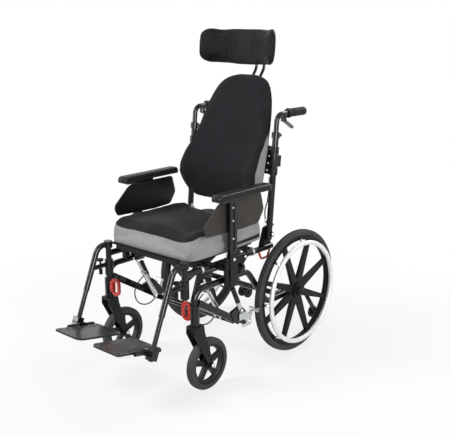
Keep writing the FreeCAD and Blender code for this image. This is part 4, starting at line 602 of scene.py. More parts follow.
@dataclass(frozen=True)
class Puff:
    """How a padded piece is filled by the cloth simulation."""

    voxel: float = 0.0055
    pressure: float = 4.0
    cap: float = 0.008
    frames: int = 20

    def fill(self, piece: bpy.types.Object, held: Callable[[np.ndarray], np.ndarray]) -> None:
        """Remeshes the piece, swells it as cloth and keeps the result.

        Args:
            piece: a closed shape, a little smaller than the real pad.
            held: tells which points stay where they are.
        """
        remesh = piece.modifiers.new("remesh", "REMESH")
        remesh.mode = "VOXEL"
        remesh.voxel_size = self.voxel
        remesh.use_smooth_shade = True
        apply_modifiers(piece)
        self.simulate(piece, held(coordinates(piece.data)))
        soft = piece.modifiers.new("soft", "SUBSURF")
        soft.levels = soft.render_levels = 1
        apply_modifiers(piece)

    def simulate(self, piece: bpy.types.Object, pinned: np.ndarray) -> None:
        """Runs the cloth and moves each point by no more than the cap."""
        rest = coordinates(piece.data)
        group = piece.vertex_groups.new(name="held")
        group.add(np.nonzero(pinned)[0].tolist(), 1.0, "REPLACE")
        cloth = piece.modifiers.new("cloth", "CLOTH")
        cloth.settings.quality = 5
        cloth.settings.mass = 0.3
        cloth.settings.tension_stiffness = 18.0
        cloth.settings.compression_stiffness = 18.0
        cloth.settings.shear_stiffness = 6.0
        cloth.settings.bending_stiffness = 1.5
        cloth.settings.use_pressure = True
        cloth.settings.uniform_pressure_force = self.pressure
        cloth.settings.effector_weights.gravity = 0.0
        cloth.settings.vertex_group_mass = group.name
        cloth.collision_settings.use_collision = False
        cloth.point_cache.frame_start = 1
        cloth.point_cache.frame_end = self.frames
        scene = bpy.context.scene
        for number in range(1, self.frames + 1):
            scene.frame_set(number)
        evaluated = piece.evaluated_get(bpy.context.evaluated_depsgraph_get())
        shift = coordinates(evaluated.data) - rest
        reach = np.linalg.norm(shift, axis=1, keepdims=True)
        shift *= np.minimum(1.0, self.cap / np.maximum(reach, 1e-9))
        piece.modifiers.clear()
        piece.vertex_groups.clear()
        scene.frame_set(1)
        move_to(piece.data, rest + shift)
        log.info("%s swelled by up to %.1f mm", piece.name, 1000 * float(np.abs(shift).max()))


# Geometry Nodes
def repeat_tree() -> bpy.types.NodeTree:
    """Tree that repeats a small part along paths, turned to the path and to its up direction."""
    graph = new_group("repeat_along", "GeometryNodeTree", {
        "Geometry": ("NodeSocketGeometry", None), "Part": ("NodeSocketObject", None), "Spacing": (FLOAT,
                                                                                                  0.01),
        "Finish": ("NodeSocketMaterial", None),
    }, {"Geometry": "NodeSocketGeometry"})
    given = graph.add("NodeGroupInput").outputs
    curve = graph.add("GeometryNodeMeshToCurve", {"Mesh": given["Geometry"]})
    even = graph.add("GeometryNodeResampleCurve", {"Curve": curve.outputs[0], "Length": given["Spacing"]},
                     mode="LENGTH")
    finish_repeats(graph, given, even.outputs[0], graph.add("GeometryNodeInputTangent").outputs[0])
    return graph.tree


def finish_repeats(graph: Graph, given: object, points: object, forward: object) -> None:
    """Stands the part on the points, makes the copies real and dresses them."""
    up = graph.add("GeometryNodeInputNamedAttribute", {"Name": "up"},
                   data_type="FLOAT_VECTOR").outputs["Attribute"]
    first = graph.add("FunctionNodeAlignRotationToVector", {"Vector": up}, axis="Z")
    turned = graph.add("FunctionNodeAlignRotationToVector", {"Rotation": first.outputs[0], "Vector": forward},
                       axis="X", pivot_axis="Z")
    part = graph.add("GeometryNodeObjectInfo", {"Object": given["Part"], "As Instance": False})
    copies = graph.add("GeometryNodeInstanceOnPoints", {
        "Points": points, "Instance": part.outputs["Geometry"], "Rotation": turned.outputs[0],
    })
    real = graph.add("GeometryNodeRealizeInstances", {0: copies.outputs[0]})
    dressed = graph.add("GeometryNodeSetMaterial", {"Geometry": real.outputs[0], "Material": given["Finish"]})
    end = graph.add("NodeGroupOutput")
    graph.tree.links.new(dressed.outputs[0], end.inputs[0])


def stand_tree() -> bpy.types.NodeTree:
    """Tree that stands a small part on each given point, along the point's up direction."""
    graph = new_group("stand_on", "GeometryNodeTree", {
        "Geometry": ("NodeSocketGeometry", None), "Part": ("NodeSocketObject", None),
        "Finish": ("NodeSocketMaterial", None),
    }, {"Geometry": "NodeSocketGeometry"})
    given = graph.add("NodeGroupInput").outputs
    points = graph.add("GeometryNodeMeshToPoints", {"Mesh": given["Geometry"]})
    forward = graph.add("GeometryNodeInputNamedAttribute", {"Name": "forward"}, data_type="FLOAT_VECTOR")
    finish_repeats(graph, given, points.outputs[0], forward.outputs["Attribute"])
    return graph.tree


def welt_tree() -> bpy.types.NodeTree:
    """Tree that lays a round welt along paths."""
    graph = new_group("welt_along", "GeometryNodeTree", {
        "Geometry": ("NodeSocketGeometry", None), "Radius": (FLOAT, 0.001), "Spacing": (FLOAT, 0.004),
        "Finish": ("NodeSocketMaterial", None),
    }, {"Geometry": "NodeSocketGeometry"})
    given = graph.add("NodeGroupInput").outputs
    curve = graph.add("GeometryNodeMeshToCurve", {"Mesh": given["Geometry"]})
    even = graph.add("GeometryNodeResampleCurve", {"Curve": curve.outputs[0], "Length": given["Spacing"]},
                     mode="LENGTH")
    ring = graph.add("GeometryNodeCurvePrimitiveCircle", {"Resolution": 8, "Radius": given["Radius"]})
    tube = graph.add("GeometryNodeCurveToMesh", {"Curve": even.outputs[0], "Profile Curve": ring.outputs[0],
                                                 "Fill Caps": True})
    soft = graph.add("GeometryNodeSetShadeSmooth", {"Geometry": tube.outputs[0]})
    real = graph.add("GeometryNodeRealizeInstances", {0: soft.outputs[0]})
    dressed = graph.add("GeometryNodeSetMaterial", {"Geometry": real.outputs[0], "Material": given["Finish"]})
    end = graph.add("NodeGroupOutput")
    graph.tree.links.new(dressed.outputs[0], end.inputs[0])
    return graph.tree


REPEAT = repeat_tree()
STAND = stand_tree()
WELT = welt_tree()
Line = tuple[Sequence, Sequence, bool]


def path_piece(name: str, lines: Sequence[Line]) -> bpy.types.Object:
    """Makes an object of edges for the trees to follow.

    Args:
        name: the object's name.
        lines: points, up directions and whether it closes, for each line.

    Returns:
        The object, with its up directions stored on its points.
    """
    points, ups, edges = [], [], []
    for line, up, closed in lines:
        start = len(points)
        points.extend(tuple(point) for point in line)
        ups.extend(tuple(value) for value in up)
        edges.extend((start + step, start + step + 1) for step in range(len(line) - 1))
        if closed:
            edges.append((len(points) - 1, start))
    mesh = bpy.data.meshes.new(name)
    mesh.from_pydata(points, edges, [])
    mesh.attributes.new("up", "FLOAT_VECTOR", "POINT").data.foreach_set("vector",
                                                                        np.array(ups, float).ravel())
    piece = bpy.data.objects.new(name, mesh)
    bpy.context.scene.collection.objects.link(piece)
    return piece


def grow(piece: bpy.types.Object, tree: bpy.types.NodeTree, **values: object) -> bpy.types.Object:
    """Runs a tree on the piece and keeps the plain mesh that it makes.

    Args:
        piece: the object of paths or points.
        tree: the Geometry Nodes tree.
        values: its inputs by name.

    Returns:
        The piece, now a plain mesh with no modifier.
    """
    nodes = piece.modifiers.new("grow", "NODES")
    nodes.node_group = tree
    for item in tree.interface.items_tree:
        if item.item_type == "SOCKET" and item.in_out == "INPUT" and item.name in values:
            nodes[item.identifier] = values[item.name]
    apply_modifiers(piece)
    return piece


def drop(*pieces: bpy.types.Object) -> None:
    """Removes helper objects."""
    for piece in pieces:
        bpy.data.objects.remove(piece)


def part_from(name: str, points: Sequence, faces: Sequence, smooth: bool = False) -> bpy.types.Object:
    """A small part for the trees to repeat."""
    return new_piece(name, points, faces, smooth)


def turned_part(name: str, profile: Sequence[tuple[float, float]], steps: int = 12) -> bpy.types.Object:
    """A small turned part that stands along +Z, for the trees to repeat."""
    return lathe(name, profile, (0.0, 0.0, 0.0), (0.0, 0.0, 1.0), steps)


def stitch_part(length: float = 0.0042, radius: float = 0.00055) -> bpy.types.Object:
    """One stitch that lies along +X."""
    rings = []
    for share, wide in ((-0.5, 0.35), (-0.3, 1.0), (0.3, 1.0), (0.5, 0.35)):
        angles = np.arange(6) * (math.pi / 3)
        ring = np.stack([np.full(6, share * length), np.cos(angles) * radius * wide,
                         np.sin(angles) * radius * wide], 1)
        rings.append(ring)
    return part_from("stitch", *sweep_rings(rings), smooth=True)


def stitched(name: str, lines: Sequence[Line], body: str, spacing: float = 0.0068) -> None:
    """Sews rows of stitches along lines."""
    part = stitch_part()
    piece = grow(path_piece(name, lines), REPEAT, Part=part, Spacing=spacing, Finish=PALETTE.of(THREAD))
    drop(part)
    settle(piece, body, None)


def welted(name: str, lines: Sequence[Line], body: str, radius: float,
           finish: Finish = THREAD) -> None:
    """Lays a welt along lines."""
    piece = grow(path_piece(name, lines), WELT, Radius=radius, Spacing=0.004, Finish=PALETTE.of(finish))
    settle(piece, body, None)


class Surface:
    """A mesh as a surface that rays are cast on."""

    def __init__(self, piece: bpy.types.Object) -> None:
        """Takes the piece's present mesh."""
        self.tree = BVHTree.FromPolygons([vertex.co for vertex in piece.data.vertices],
                                         [tuple(face.vertices) for face in piece.data.polygons])

    def hit(self, start: Sequence[float], direction: Sequence[float]) -> tuple[Vector, Vector] | None:
        """First point and outward normal that a ray meets, or None."""
        ray = Vector(direction).normalized()
        place, normal, _, _ = self.tree.ray_cast(Vector(start), ray)
        if place is None:
            return None
        return place, normal if normal.dot(ray) < 0 else -normal

    def line(self, starts: Sequence, directions: Sequence, lift: float, closed: bool = False) -> Line:
        """The line of points that rays meet, lifted a little off the surface."""
        found = [self.hit(start, way) for start, way in zip(starts, directions)]
        found = [pair for pair in found if pair is not None]
        return [place + normal * lift for place, normal in found], [normal for _, normal in found], closed


class Fastener(Enum):
    """Heads of the screws and rivets, as radius and height profiles."""

    BUTTON = ((0.0, -0.0006), (1.0, -0.0006), (1.0, 0.12), (0.94, 0.30), (0.72, 0.48), (0.42, 0.55),
              (0.40, 0.52),
              (0.38, 0.10), (0.0, 0.08))
    HEX = ((0.0, -0.0006), (1.0, -0.0006), (1.0, 0.55), (0.92, 0.62), (0.55, 0.64), (0.50, 0.85), (0.0, 0.95))
    RIVET = ((0.0, -0.0006), (1.0, -0.0006), (0.97, 0.10), (0.70, 0.24), (0.30, 0.30), (0.0, 0.31))
    # A flat disc with a raised rim, laid over holes and slots as painted shade.
    RING = ((0.62, -0.0006), (1.0, -0.0006), (1.0, 0.10), (0.90, 0.16), (0.66, 0.12), (0.62, 0.0))

    def part(self, radius: float) -> bpy.types.Object:
        """The head at a radius, standing on +Z."""
        steps = 6 if self is Fastener.HEX else 14
        profile = [(max(across, 0.001) * radius, up * radius) for across, up in self.value]
        return turned_part(self.name.lower(), profile, steps)


def fastened(name: str, places: Sequence[tuple[Sequence, Sequence]], kind: Fastener, radius: float, body: str,
             finish: Finish) -> None:
    """Stands screw heads on points.

    Args:
        name: the piece's name.
        places: a point and an outward direction for each.
        kind: the shape of the heads.
        radius: their radius.
        body: the body that they ride on.
        finish: their finish.
    """
    part = kind.part(radius)
    base = path_piece(name, [([place for place, _ in places], [up for _, up in places], False)])
    forward = [Vector(up).orthogonal().normalized()[:] for _, up in places]
    base.data.attributes.new("forward", "FLOAT_VECTOR", "POINT").data.foreach_set("vector", np.ravel(forward))
    piece = grow(base, STAND, Part=part, Finish=PALETTE.of(finish))
    drop(part)
    settle(piece, body, None)


# The back's own frame
@dataclass(frozen=True)
class Leaning:
    """Frame that leans back with the canes: across is x, back is b and up is h."""

    y: float
    z: float
    lean: float = math.radians(5.4)

    def at(self, points: np.ndarray) -> np.ndarray:
        """Turns (x, b, h) points into the row frame."""
        x, b, h = points.T
        c, s = math.cos(self.lean), math.sin(self.lean)
        return np.stack([x, self.y + b * c + h * s, self.z - b * s + h * c], 1)

    def one(self, x: float, b: float, h: float) -> Vector:
        """One (x, b, h) point in the row frame."""
        return Vector(self.at(np.array([[x, b, h]], float))[0])

    def way(self, x: float, b: float, h: float) -> Vector:
        """A direction of the frame."""
        return self.one(x, b, h) - self.one(0.0, 0.0, 0.0)

    def inside(self, points: np.ndarray) -> np.ndarray:
        """Turns points of the row frame into (x, b, h)."""
        c, s = math.cos(self.lean), math.sin(self.lean)
        y, z = points[:, 1] - self.y, points[:, 2] - self.z
        return np.stack([points[:, 0], y * c - z * s, y * s + z * c], 1)


BACK = Leaning(AXLE_Y - 0.1235, 0.515)
KNEE = 0.240
SHELL_LEAN = math.radians(9.6)
FULL_LEAN = BACK.lean + SHELL_LEAN
FOOT = BACK.one(0.0, 0.0, KNEE)
SHELL = Leaning(FOOT.y - KNEE * math.sin(FULL_LEAN), FOOT.z - KNEE * math.cos(FULL_LEAN), FULL_LEAN)


def ease(values: np.ndarray, low: float, high: float) -> np.ndarray:
    """0 below low and 1 above high, smoothly between."""
    share = np.clip((values - low) / (high - low), 0.0, 1.0)
    return share * share * (3 - 2 * share)


@dataclass
class SeatCushion:
    """Contoured cushion: black stretch top, grey mesh sides with a zip."""

    half: float = 0.2255
    rear: float = -0.1625
    front: float = -0.5675
    bottom: float = 0.4982
    height: float = 0.1015
    zip_low: float = 0.5165
    zip_high: float = 0.5295
    seam_y: float = -0.411

    def edge_height(self, x: np.ndarray, y: np.ndarray) -> np.ndarray:
        """Height of the line where the black cover meets the grey side."""
        stations = [0.0, 0.04, 0.08, 0.12, 0.15, 0.18, 0.21, 0.231]
        heights = [0.5685, 0.5690, 0.5680, 0.5655, 0.5650, 0.5685, 0.5770, 0.5840]
        wave = np.interp(np.abs(x), stations, heights)
        share = ease(y - AXLE_Y, self.front + 0.060, self.front + 0.015)
        return 0.583 * (1 - share) + wave * share

    def ring(self, y: float, wide: float, heights: Sequence[float], shrink: float) -> np.ndarray:
        """Points round one section of the cushion, which closes in by the shrink near its ends."""
        half = self.half * wide * (1 - shrink * 0.35)
        side, trough, shoulder, middle = (self.height * part * (1 - shrink) for part in heights)
        right = [(half * 0.5, 0.0), (half - 0.014, 0.0), (half - 0.003, side * 0.2), (half, side * 0.5),
                 (half - 0.003, side * 0.8), (half - 0.016, side), (half * 0.84,
                                                                    side * 0.985), (half * 0.64, trough),
                 (half * 0.28, shoulder)]
        corners = [(0.0, 0.0)] + right + [(0.0, middle)] + [(-x, z) for x, z in reversed(right)]
        flat = smooth_ring(corners, 4)
        return np.stack([flat[:, 0], np.full(len(flat), AXLE_Y + y),
                         self.bottom + np.maximum(flat[:, 1], 0.0)], 1)

    def skin(self) -> Mesh:
        """Points and faces of the cushion before it's filled."""
        shapes = np.array([
            (0.0, 0.96, 0.84, 0.76, 0.72, 0.70), (0.18, 0.99, 0.91, 0.78, 0.76, 0.75),
            (0.45, 1.0, 0.93, 0.79, 0.83, 0.86), (0.75, 1.0, 0.93, 0.82, 0.89, 0.95),
            (0.92, 0.98, 0.89, 0.82, 0.90, 0.97), (1.0, 0.94, 0.80, 0.76, 0.82, 0.88),
        ])
        length = self.rear - self.front
        rings = []
        for share in np.concatenate([[0.0, 0.005, 0.018], np.linspace(0.045, 0.955, 24),
                                     [0.982, 0.995, 1.0]]):
            wide, *heights = (np.interp(share, shapes[:, 0], shapes[:, column]) for column in range(1, 6))
            end = min(share, 1 - share) * length
            shrink = 0.14 * (1 - min(end / 0.016, 1.0)) ** 2
            rings.append(self.ring(self.rear - share * length, wide, heights, shrink))
        return sweep_rings(rings)

    def build(self) -> None:
        """Makes the cushion with its seams, stitches and zip."""
        piece = new_piece("seat_pad", *self.skin())
        Puff(cap=0.0055).fill(piece, lambda points: points[:, 2] < self.bottom + 0.004)
        points = coordinates(piece.data)
        points[:, 2] = np.maximum(points[:, 2], self.bottom)
        points[:, 0] = np.clip(points[:, 0], -0.2365, 0.2365)
        cover = points[:, 2] - self.edge_height(points[:, 0], points[:, 1])
        inset = np.minimum(self.half - np.abs(points[:, 0]),
                           np.minimum(points[:, 1] - AXLE_Y - self.front, self.rear + AXLE_Y - points[:, 1]))
        cover = np.where(points[:, 2] > 0.55, np.maximum(cover, inset - 0.035), cover)
        set_attribute(piece.data, "cover", cover)
        move_to(piece.data, points)
        settle(piece, "seat", CUSHION, ["seat_cushion"])
        self.sew(Surface(piece))

    def loop(self, surface: Surface, rise: float, lift: float) -> Line:
        """A line round the cushion, so far above the edge of the black cover."""
        angles = np.linspace(0.0, 2 * math.pi, 320, endpoint=False)
        ways = np.stack([np.cos(angles), np.sin(angles), np.zeros(320)], 1)
        middle = np.array([0.0, AXLE_Y + (self.rear + self.front) / 2, 0.0])
        places = middle + ways * 0.22
        for _ in range(3):
            places[:, 2] = self.edge_height(places[:, 0], places[:, 1]) + rise
            starts = places * (0.0, 0.0, 1.0) + middle + ways
            found = [surface.hit(start, -way) for start, way in zip(starts, ways)]
            places = np.array([pair[0][:] if pair else place for pair, place in zip(found, places)])
        starts = places * (0.0, 0.0, 1.0) + middle + ways
        return surface.line(starts, -ways, lift, closed=True)

    def sew(self, surface: Surface) -> None:
        """Adds the welt, the stitches, the side seams and the zip."""
        welted("seat_welt", [self.loop(surface, 0.0, -0.0002)], "seat", 0.0011)
        stitched("seat_stitches", [self.loop(surface, 0.0045, 0.0001)], "seat")
        rows = []
        for side in (-1.0, 1.0):
            for shift in (-0.0035, 0.0035):
                heights = np.linspace(0.503, 0.5800, 14)
                leans = AXLE_Y + self.seam_y + shift + (heights - 0.53) * 0.28
                starts = [(side * 0.4, y, z) for y, z in zip(leans, heights)]
                rows.append(surface.line(starts, [(-side, 0.0, 0.0)] * 14, 0.0001))
        stitched("seat_side_stitches", rows, "seat", 0.006)
        self.add_zip(surface)

    def add_zip(self, surface: Surface) -> None:
        """Lays the zip tape and its teeth on the near side, towards the rear."""
        spots = np.linspace(-0.330, -0.182, 38) + AXLE_Y
        rings = []
        for y in spots:
            share = (y - spots[0]) / (spots[-1] - spots[0])
            low, high = self.zip_low - 0.002 * share, self.zip_high - 0.001 * share + 0.002 * (share - 0.5)
            found = [surface.hit((0.4, y, z), (-1.0, 0.0, 0.0)) for z in np.linspace(high, low, 5)]
            outer = [place + normal * 0.0011 for place, normal in found]
            inner = [place - normal * 0.0008 for place, normal in found]
            rings.append(np.array([point[:] for point in outer + inner[::-1]]))
        settle(new_piece("seat_zip_tape", *sweep_rings(rings)), "seat", DARK_TAPE)
        middle = (self.zip_low + self.zip_high) / 2 - 0.001
        line = surface.line([(0.4, y, middle) for y in spots], [(-1.0, 0.0, 0.0)] * len(spots), 0.0012)
        tooth = part_from("tooth", [
            (-0.0007, -0.0022, -0.0004), (0.0007, -0.0022, -0.0004), (0.0007, 0.0022, -0.0004), (-0.0007,
                                                                                                 0.0022, -0.0004),
            (-0.0005, -0.0018, 0.0007), (0.0005, -0.0018, 0.0007), (0.0005, 0.0018, 0.0007), (-0.0005,
                                                                                              0.0018, 0.0007),
        ], [(3, 2, 1, 0), (4, 5, 6, 7), (0, 1, 5, 4), (1, 2, 6, 5), (2, 3, 7, 6), (3, 0, 4, 7)])
        piece = grow(path_piece("seat_zip_teeth", [line]), REPEAT, Part=tooth, Spacing=0.0024,
                     Finish=PALETTE.of(MOULDED_BLACK))
        drop(tooth)
        settle(piece, "seat", None)


@dataclass
class BackCushion:
    """Pear-shaped back cushion: black front, grey mesh boxing that fades out towards the top."""

    half: float = 0.2065
    shell_radius: float = 0.4424
    shell_front: float = 0.0228

    def section(self, h: float) -> tuple[float, float, float]:
        """Half width, and how far forward the side and the middle lie, at a height."""
        shapes = np.array([
            (0.097, 0.76, -0.044, -0.034), (0.112, 0.84, -0.057, -0.043), (0.132, 0.90, -0.070, -0.052),
            (0.162, 0.955, -0.089, -0.060), (0.200, 1.0, -0.104, -0.064), (0.240, 0.99, -0.103, -0.060),
            (0.290, 0.97, -0.080, -0.044), (0.340, 0.95, -0.046, -0.026), (0.400, 0.91, -0.016, -0.008),
            (0.450, 0.87, 0.002, 0.008), (0.500, 0.815, 0.020, 0.024), (0.545, 0.73, 0.034, 0.038),
            (0.570, 0.66, 0.042, 0.045), (0.590, 0.57, 0.050, 0.053), (0.603, 0.46, 0.055, 0.058),
            (0.611, 0.33, 0.058, 0.061), (0.616, 0.18, 0.060, 0.063),
        ])
        wide, side, middle = (float(np.interp(h, shapes[:, 0], shapes[:, column])) for column in (1, 2, 3))
        return self.half * wide, side, middle

    def rear_at(self, x: np.ndarray, h: np.ndarray) -> np.ndarray:
        """Where the shell's front lies."""
        dish = self.shell_front - self.shell_radius + np.sqrt(self.shell_radius ** 2 - np.square(x))
        return dish / math.cos(SHELL_LEAN) + (h - KNEE) * math.tan(SHELL_LEAN)

    def widths(self, h: np.ndarray) -> np.ndarray:
        """Half widths at heights."""
        return np.array([self.section(value)[0] for value in np.atleast_1d(h)])

    def edge_back(self, h: np.ndarray) -> np.ndarray:
        """How far back the seam between front and boxing lies at a height."""
        front = np.array([self.section(value)[1] for value in np.atleast_1d(h)])
        return front + 0.012 + 0.060 * ease(np.atleast_1d(h), 0.37, 0.52)

    def skin(self) -> Mesh:
        """Points and faces of the cushion before it's filled."""
        rings = []
        for h in np.concatenate([[0.099, 0.1005, 0.104], np.linspace(0.112, 0.590, 44),
                                 [0.598, 0.604, 0.609, 0.613, 0.6155]]):
            half, side, middle = self.section(h)
            edge = half - 0.016
            rear = float(self.rear_at(np.array(edge), h))
            squeeze = 0.10 * max(0.0, 1 - (h - 0.099) / 0.012) ** 2
            spread = [edge * share for share in (1.0, 0.66, 0.33, 0.0, -0.33, -0.66, -1.0)]
            back_line = [(x, float(self.rear_at(np.array(x), h))) for x in spread]
            depth = side - middle
            front_line = [(-x, middle + depth * (abs(x) / edge) ** 2 + 0.003) for x in spread]
            corners = (back_line + [(-half, rear * 0.45 + side * 0.55)] + front_line
                       + [(half, rear * 0.45 + side * 0.55)])
            flat = smooth_ring(corners, 4)
            centre = flat.mean(0)
            flat = centre + (flat - centre) * (1 - squeeze)
            rings.append(BACK.at(np.stack([flat[:, 0], flat[:, 1], np.full(len(flat), h)], 1)))
        return sweep_rings(rings)

    def build(self) -> None:
        """Makes the cushion with its seams and stitches."""
        piece = new_piece("back_pad", *self.skin())

        def held(points: np.ndarray) -> np.ndarray:
            """Points of the rear, which lie on the shell."""
            x, b, h = BACK.inside(points).T
            return b > self.rear_at(np.clip(x, -0.3, 0.3), h) - 0.004

        Puff(cap=0.0065).fill(piece, held)
        points = coordinates(piece.data)
        x, b, h = BACK.inside(points).T
        cover = np.maximum(self.edge_back(h) - b, np.maximum(0.128 - h, self.widths(h) - 0.030 - np.abs(x)))
        set_attribute(piece.data, "cover", cover)
        settle(piece, "back", CUSHION, ["back_cushion"])
        surface = Surface(piece)
        heights = np.linspace(0.132, 0.405, 60)
        welts, rows = [], []
        for side in (-1.0, 1.0):
            way = BACK.way(-side, 0.0, 0.0)
            for shift, lift, lines in ((0.0, -0.0002, welts), (-0.0045, 0.0001, rows)):
                depths = self.edge_back(heights) + shift
                starts = [BACK.one(side * 0.4, depth, height) for depth, height in zip(depths, heights)]
                lines.append(surface.line(starts, [way] * len(starts), lift))
            inner = np.linspace(0.135, 0.575, 70)
            starts = [BACK.one(side * (self.section(value)[0] - 0.030), -0.4, value) for value in inner]
            rows.append(surface.line(starts, [BACK.way(0.0, 1.0, 0.0)] * len(starts), 0.0001))
        welted("back_welt", welts, "back", 0.0011)
        stitched("back_stitches", rows, "back")


@dataclass
class HeadPad:
    """Headrest: a thick curved band with two sewn channels."""

    half: float = 0.180
    high: float = 0.140
    radius: float = 0.2511
    front: float = -0.0515
    thick: float = 0.033
    channel: float = 0.045

    def build(self) -> None:
        """Makes the pad with its stitched channels and its bracket."""
        low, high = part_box("headrest_pad")
        pin_y = AXLE_Y + 0.0265
        leaning = Leaning(pin_y, 1.227 - 0.076)
        rings = []
        corner = 0.036
        for x in self.half * np.sin(np.linspace(-math.pi / 2, math.pi / 2, 97)):
            close = max(0.0, corner - (self.half - abs(x)))
            wide = 1 - (corner - math.sqrt(corner ** 2 - close ** 2)) / (self.high / 2)
            depth = self.front - self.radius + math.sqrt(self.radius ** 2 - x * x)
            turn = x / self.radius
            angles = np.linspace(0.0, 2 * math.pi, 36, endpoint=False)
            up = 0.076 + np.sign(np.sin(angles)) * np.abs(np.sin(angles)) ** 0.70 * self.high / 2 * wide
            out = (np.sign(np.cos(angles)) * np.abs(np.cos(angles)) ** 0.62 + 1) * self.thick / 2 * (0.30 + 0.70 * wide)
            ring = np.stack([x + out * math.sin(turn) * 0.9, depth + out * math.cos(turn), up], 1)
            rings.append(leaning.at(ring))
        piece = new_piece("head_pad", *sweep_rings(rings))

        def held(points: np.ndarray) -> np.ndarray:
            """Points in the two channels and on the flat of the rear."""
            x, b, h = leaning.inside(points).T
            front = b < self.front - self.radius + np.sqrt(self.radius ** 2 - np.square(x)) + self.thick / 2
            in_channel = np.abs(np.abs(x) - self.channel) < 0.0035
            return (in_channel & front) | (~front & (np.abs(x) < 0.045) & (np.abs(h - 0.076) < 0.03))

        Puff(voxel=0.0045, cap=0.0065, pressure=5.0).fill(piece, held)
        points = coordinates(piece.data)
        x, b, h = leaning.inside(points).T
        front = ease(b, self.front + 0.02, self.front - 0.005)
        dent = 0.0022 * np.exp(-np.square((np.abs(x) - self.channel) / 0.003)) * ease(-b, 0.025, 0.045)
        inside = leaning.inside(points)
        inside[:, 1] += dent * np.where(np.abs(x) < 0.06, front, 0.0)
        move_to(piece.data, leaning.at(inside))
        settle(piece, "head_pad", HEAD_SKIN)
        surface = Surface(piece)
        rows = []
        for side in (-1.0, 1.0):
            heights = np.linspace(0.012, 0.140, 24)
            starts = [leaning.one(side * self.channel, -0.3, value) for value in heights]
            rows.append(surface.line(starts, [leaning.way(0.0, 1.0, 0.0)] * len(starts), 0.0001))
        stitched("head_stitches", rows, "head_pad", 0.006)
        self.add_bracket(leaning)
        log.info("the headrest's CAD box is %s to %s", low[:], high[:])

    def add_bracket(self, leaning: Leaning) -> None:
        """Adds the metal plate and the split lug that hold the pad on its pin."""
        pin = Vector((0.0, leaning.y, 1.229))
        points, faces = bevelled_box(Vector((-0.040, -0.024, -0.024)) + pin,
                                     Vector((0.040, -0.0125, 0.024)) + pin, 0.003)
        more, more_faces = bevelled_box(Vector((-0.011, -0.0135, -0.009)) + pin,
                                        Vector((0.011, 0.0, 0.009)) + pin, 0.002)
        faces += [tuple(number + len(points) for number in face) for face in more_faces]
        bracket = new_piece("head_bracket", points + more, faces, smooth=False)
        settle(bracket, "head_pad", SATIN_BLACK, ["headrest_pad"])
        hub = lathe("head_hub", [(0.0056, -0.0108), (0.0088, -0.0108), (0.0094, -0.0098), (0.0094, 0.0098),
                                 (0.0088, 0.0108), (0.0056, 0.0108)], pin, (1.0, 0.0, 0.0), 32, loop=True)
        settle(hub, "head_pad", SATIN_BLACK)
        heads = [(pin + Vector((x, -0.0125, z)), (0.0, 1.0, 0.0)) for x in (-0.029, 0.029) for z in (-0.016,
                                                                                                     0.016)]
        fastened("head_screws", heads, Fastener.BUTTON, 0.0045, "head_pad", ZINC)


def bevelled_box(low: Sequence[float], high: Sequence[float], bevel: float) -> Mesh:
    """Points and faces of a box with its edges cut back by the bevel."""
    shape = bmesh.new()
    middle, size = (Vector(low) + Vector(high)) / 2, Vector(high) - Vector(low)
    bmesh.ops.create_cube(shape, size=1.0, matrix=Matrix.Translation(middle) @ Matrix.Diagonal((*size, 1.0)))
    bmesh.ops.bevel(shape, geom=shape.edges[:], offset=bevel, segments=3, affect="EDGES", profile=0.6)
    shape.verts.ensure_lookup_table()
    shape.verts.index_update()
    points = [tuple(vertex.co) for vertex in shape.verts]
    faces = [tuple(vertex.index for vertex in face.verts) for face in shape.faces]
    shape.free()
    return points, faces


@dataclass
class Armrest:
    """Moulded armrest pad with a crowned top, and the screws of the post and guard."""

    x: float = 0.252
    half: float = 0.0248
    low: float = 0.7112
    high: float = 0.0246
    front: float = -0.478
    rear: float = -0.170

    def build(self, side: str, sign: float) -> None:
        """Makes one side's pad and screws."""
        rings = []
        length = self.rear - self.front
        for share in np.concatenate([[0.0, 0.004, 0.014, 0.03], np.linspace(0.05, 0.95, 60),
                                     [0.97, 0.986, 0.996, 1.0]]):
            end = min(share, 1 - share) * length
            close = max(0.0, 1 - end / 0.020)
            half = self.half * math.sqrt(max(0.05, 1 - 0.72 * close ** 2))
            high = self.high * (1 - 0.30 * close ** 3)
            corners = [(-half + 0.004, 0.0), (half - 0.004, 0.0), (half - 0.0006, 0.0030),
                       (half, high * 0.42),
                       (half - 0.0012, high * 0.72), (half - 0.0065, high * 0.95), (half * 0.35, high),
                       (-half * 0.35, high), (-half + 0.0065, high * 0.95), (-half + 0.0012, high * 0.72),
                       (-half, high * 0.42), (-half + 0.0006, 0.0030)]
            flat = smooth_ring(corners, 7)
            ring = np.stack([sign * self.x + flat[:, 0],
                             np.full(len(flat), AXLE_Y + self.front + share * length),
                             self.low + np.maximum(flat[:, 1], 0.0)], 1)
            rings.append(ring)
        pad = new_piece(f"arm_pad_{side}", *sweep_rings(rings))
        soft = pad.modifiers.new("soft", "SUBSURF")
        soft.levels = soft.render_levels = 1
        settle(pad, f"armrest_{side}", ARM_SKIN, [f"armrest_pad_{side}"])
        out = (sign, 0.0, 0.0)
        spots = [((sign * 0.2608, AXLE_Y - 0.388, z), out) for z in (0.677, 0.628, 0.560)]
        fastened(f"post_screws_{side}", spots, Fastener.BUTTON, 0.0042, f"armrest_{side}", ZINC)
        heads = [((sign * 0.2385, AXLE_Y - 0.388, z), (-sign, 0.0, 0.0)) for z in (0.613, 0.679)]
        fastened(f"guard_screws_{side}", heads, Fastener.RIVET, 0.0060, f"armrest_{side}",
                 SATIN_BLACK)


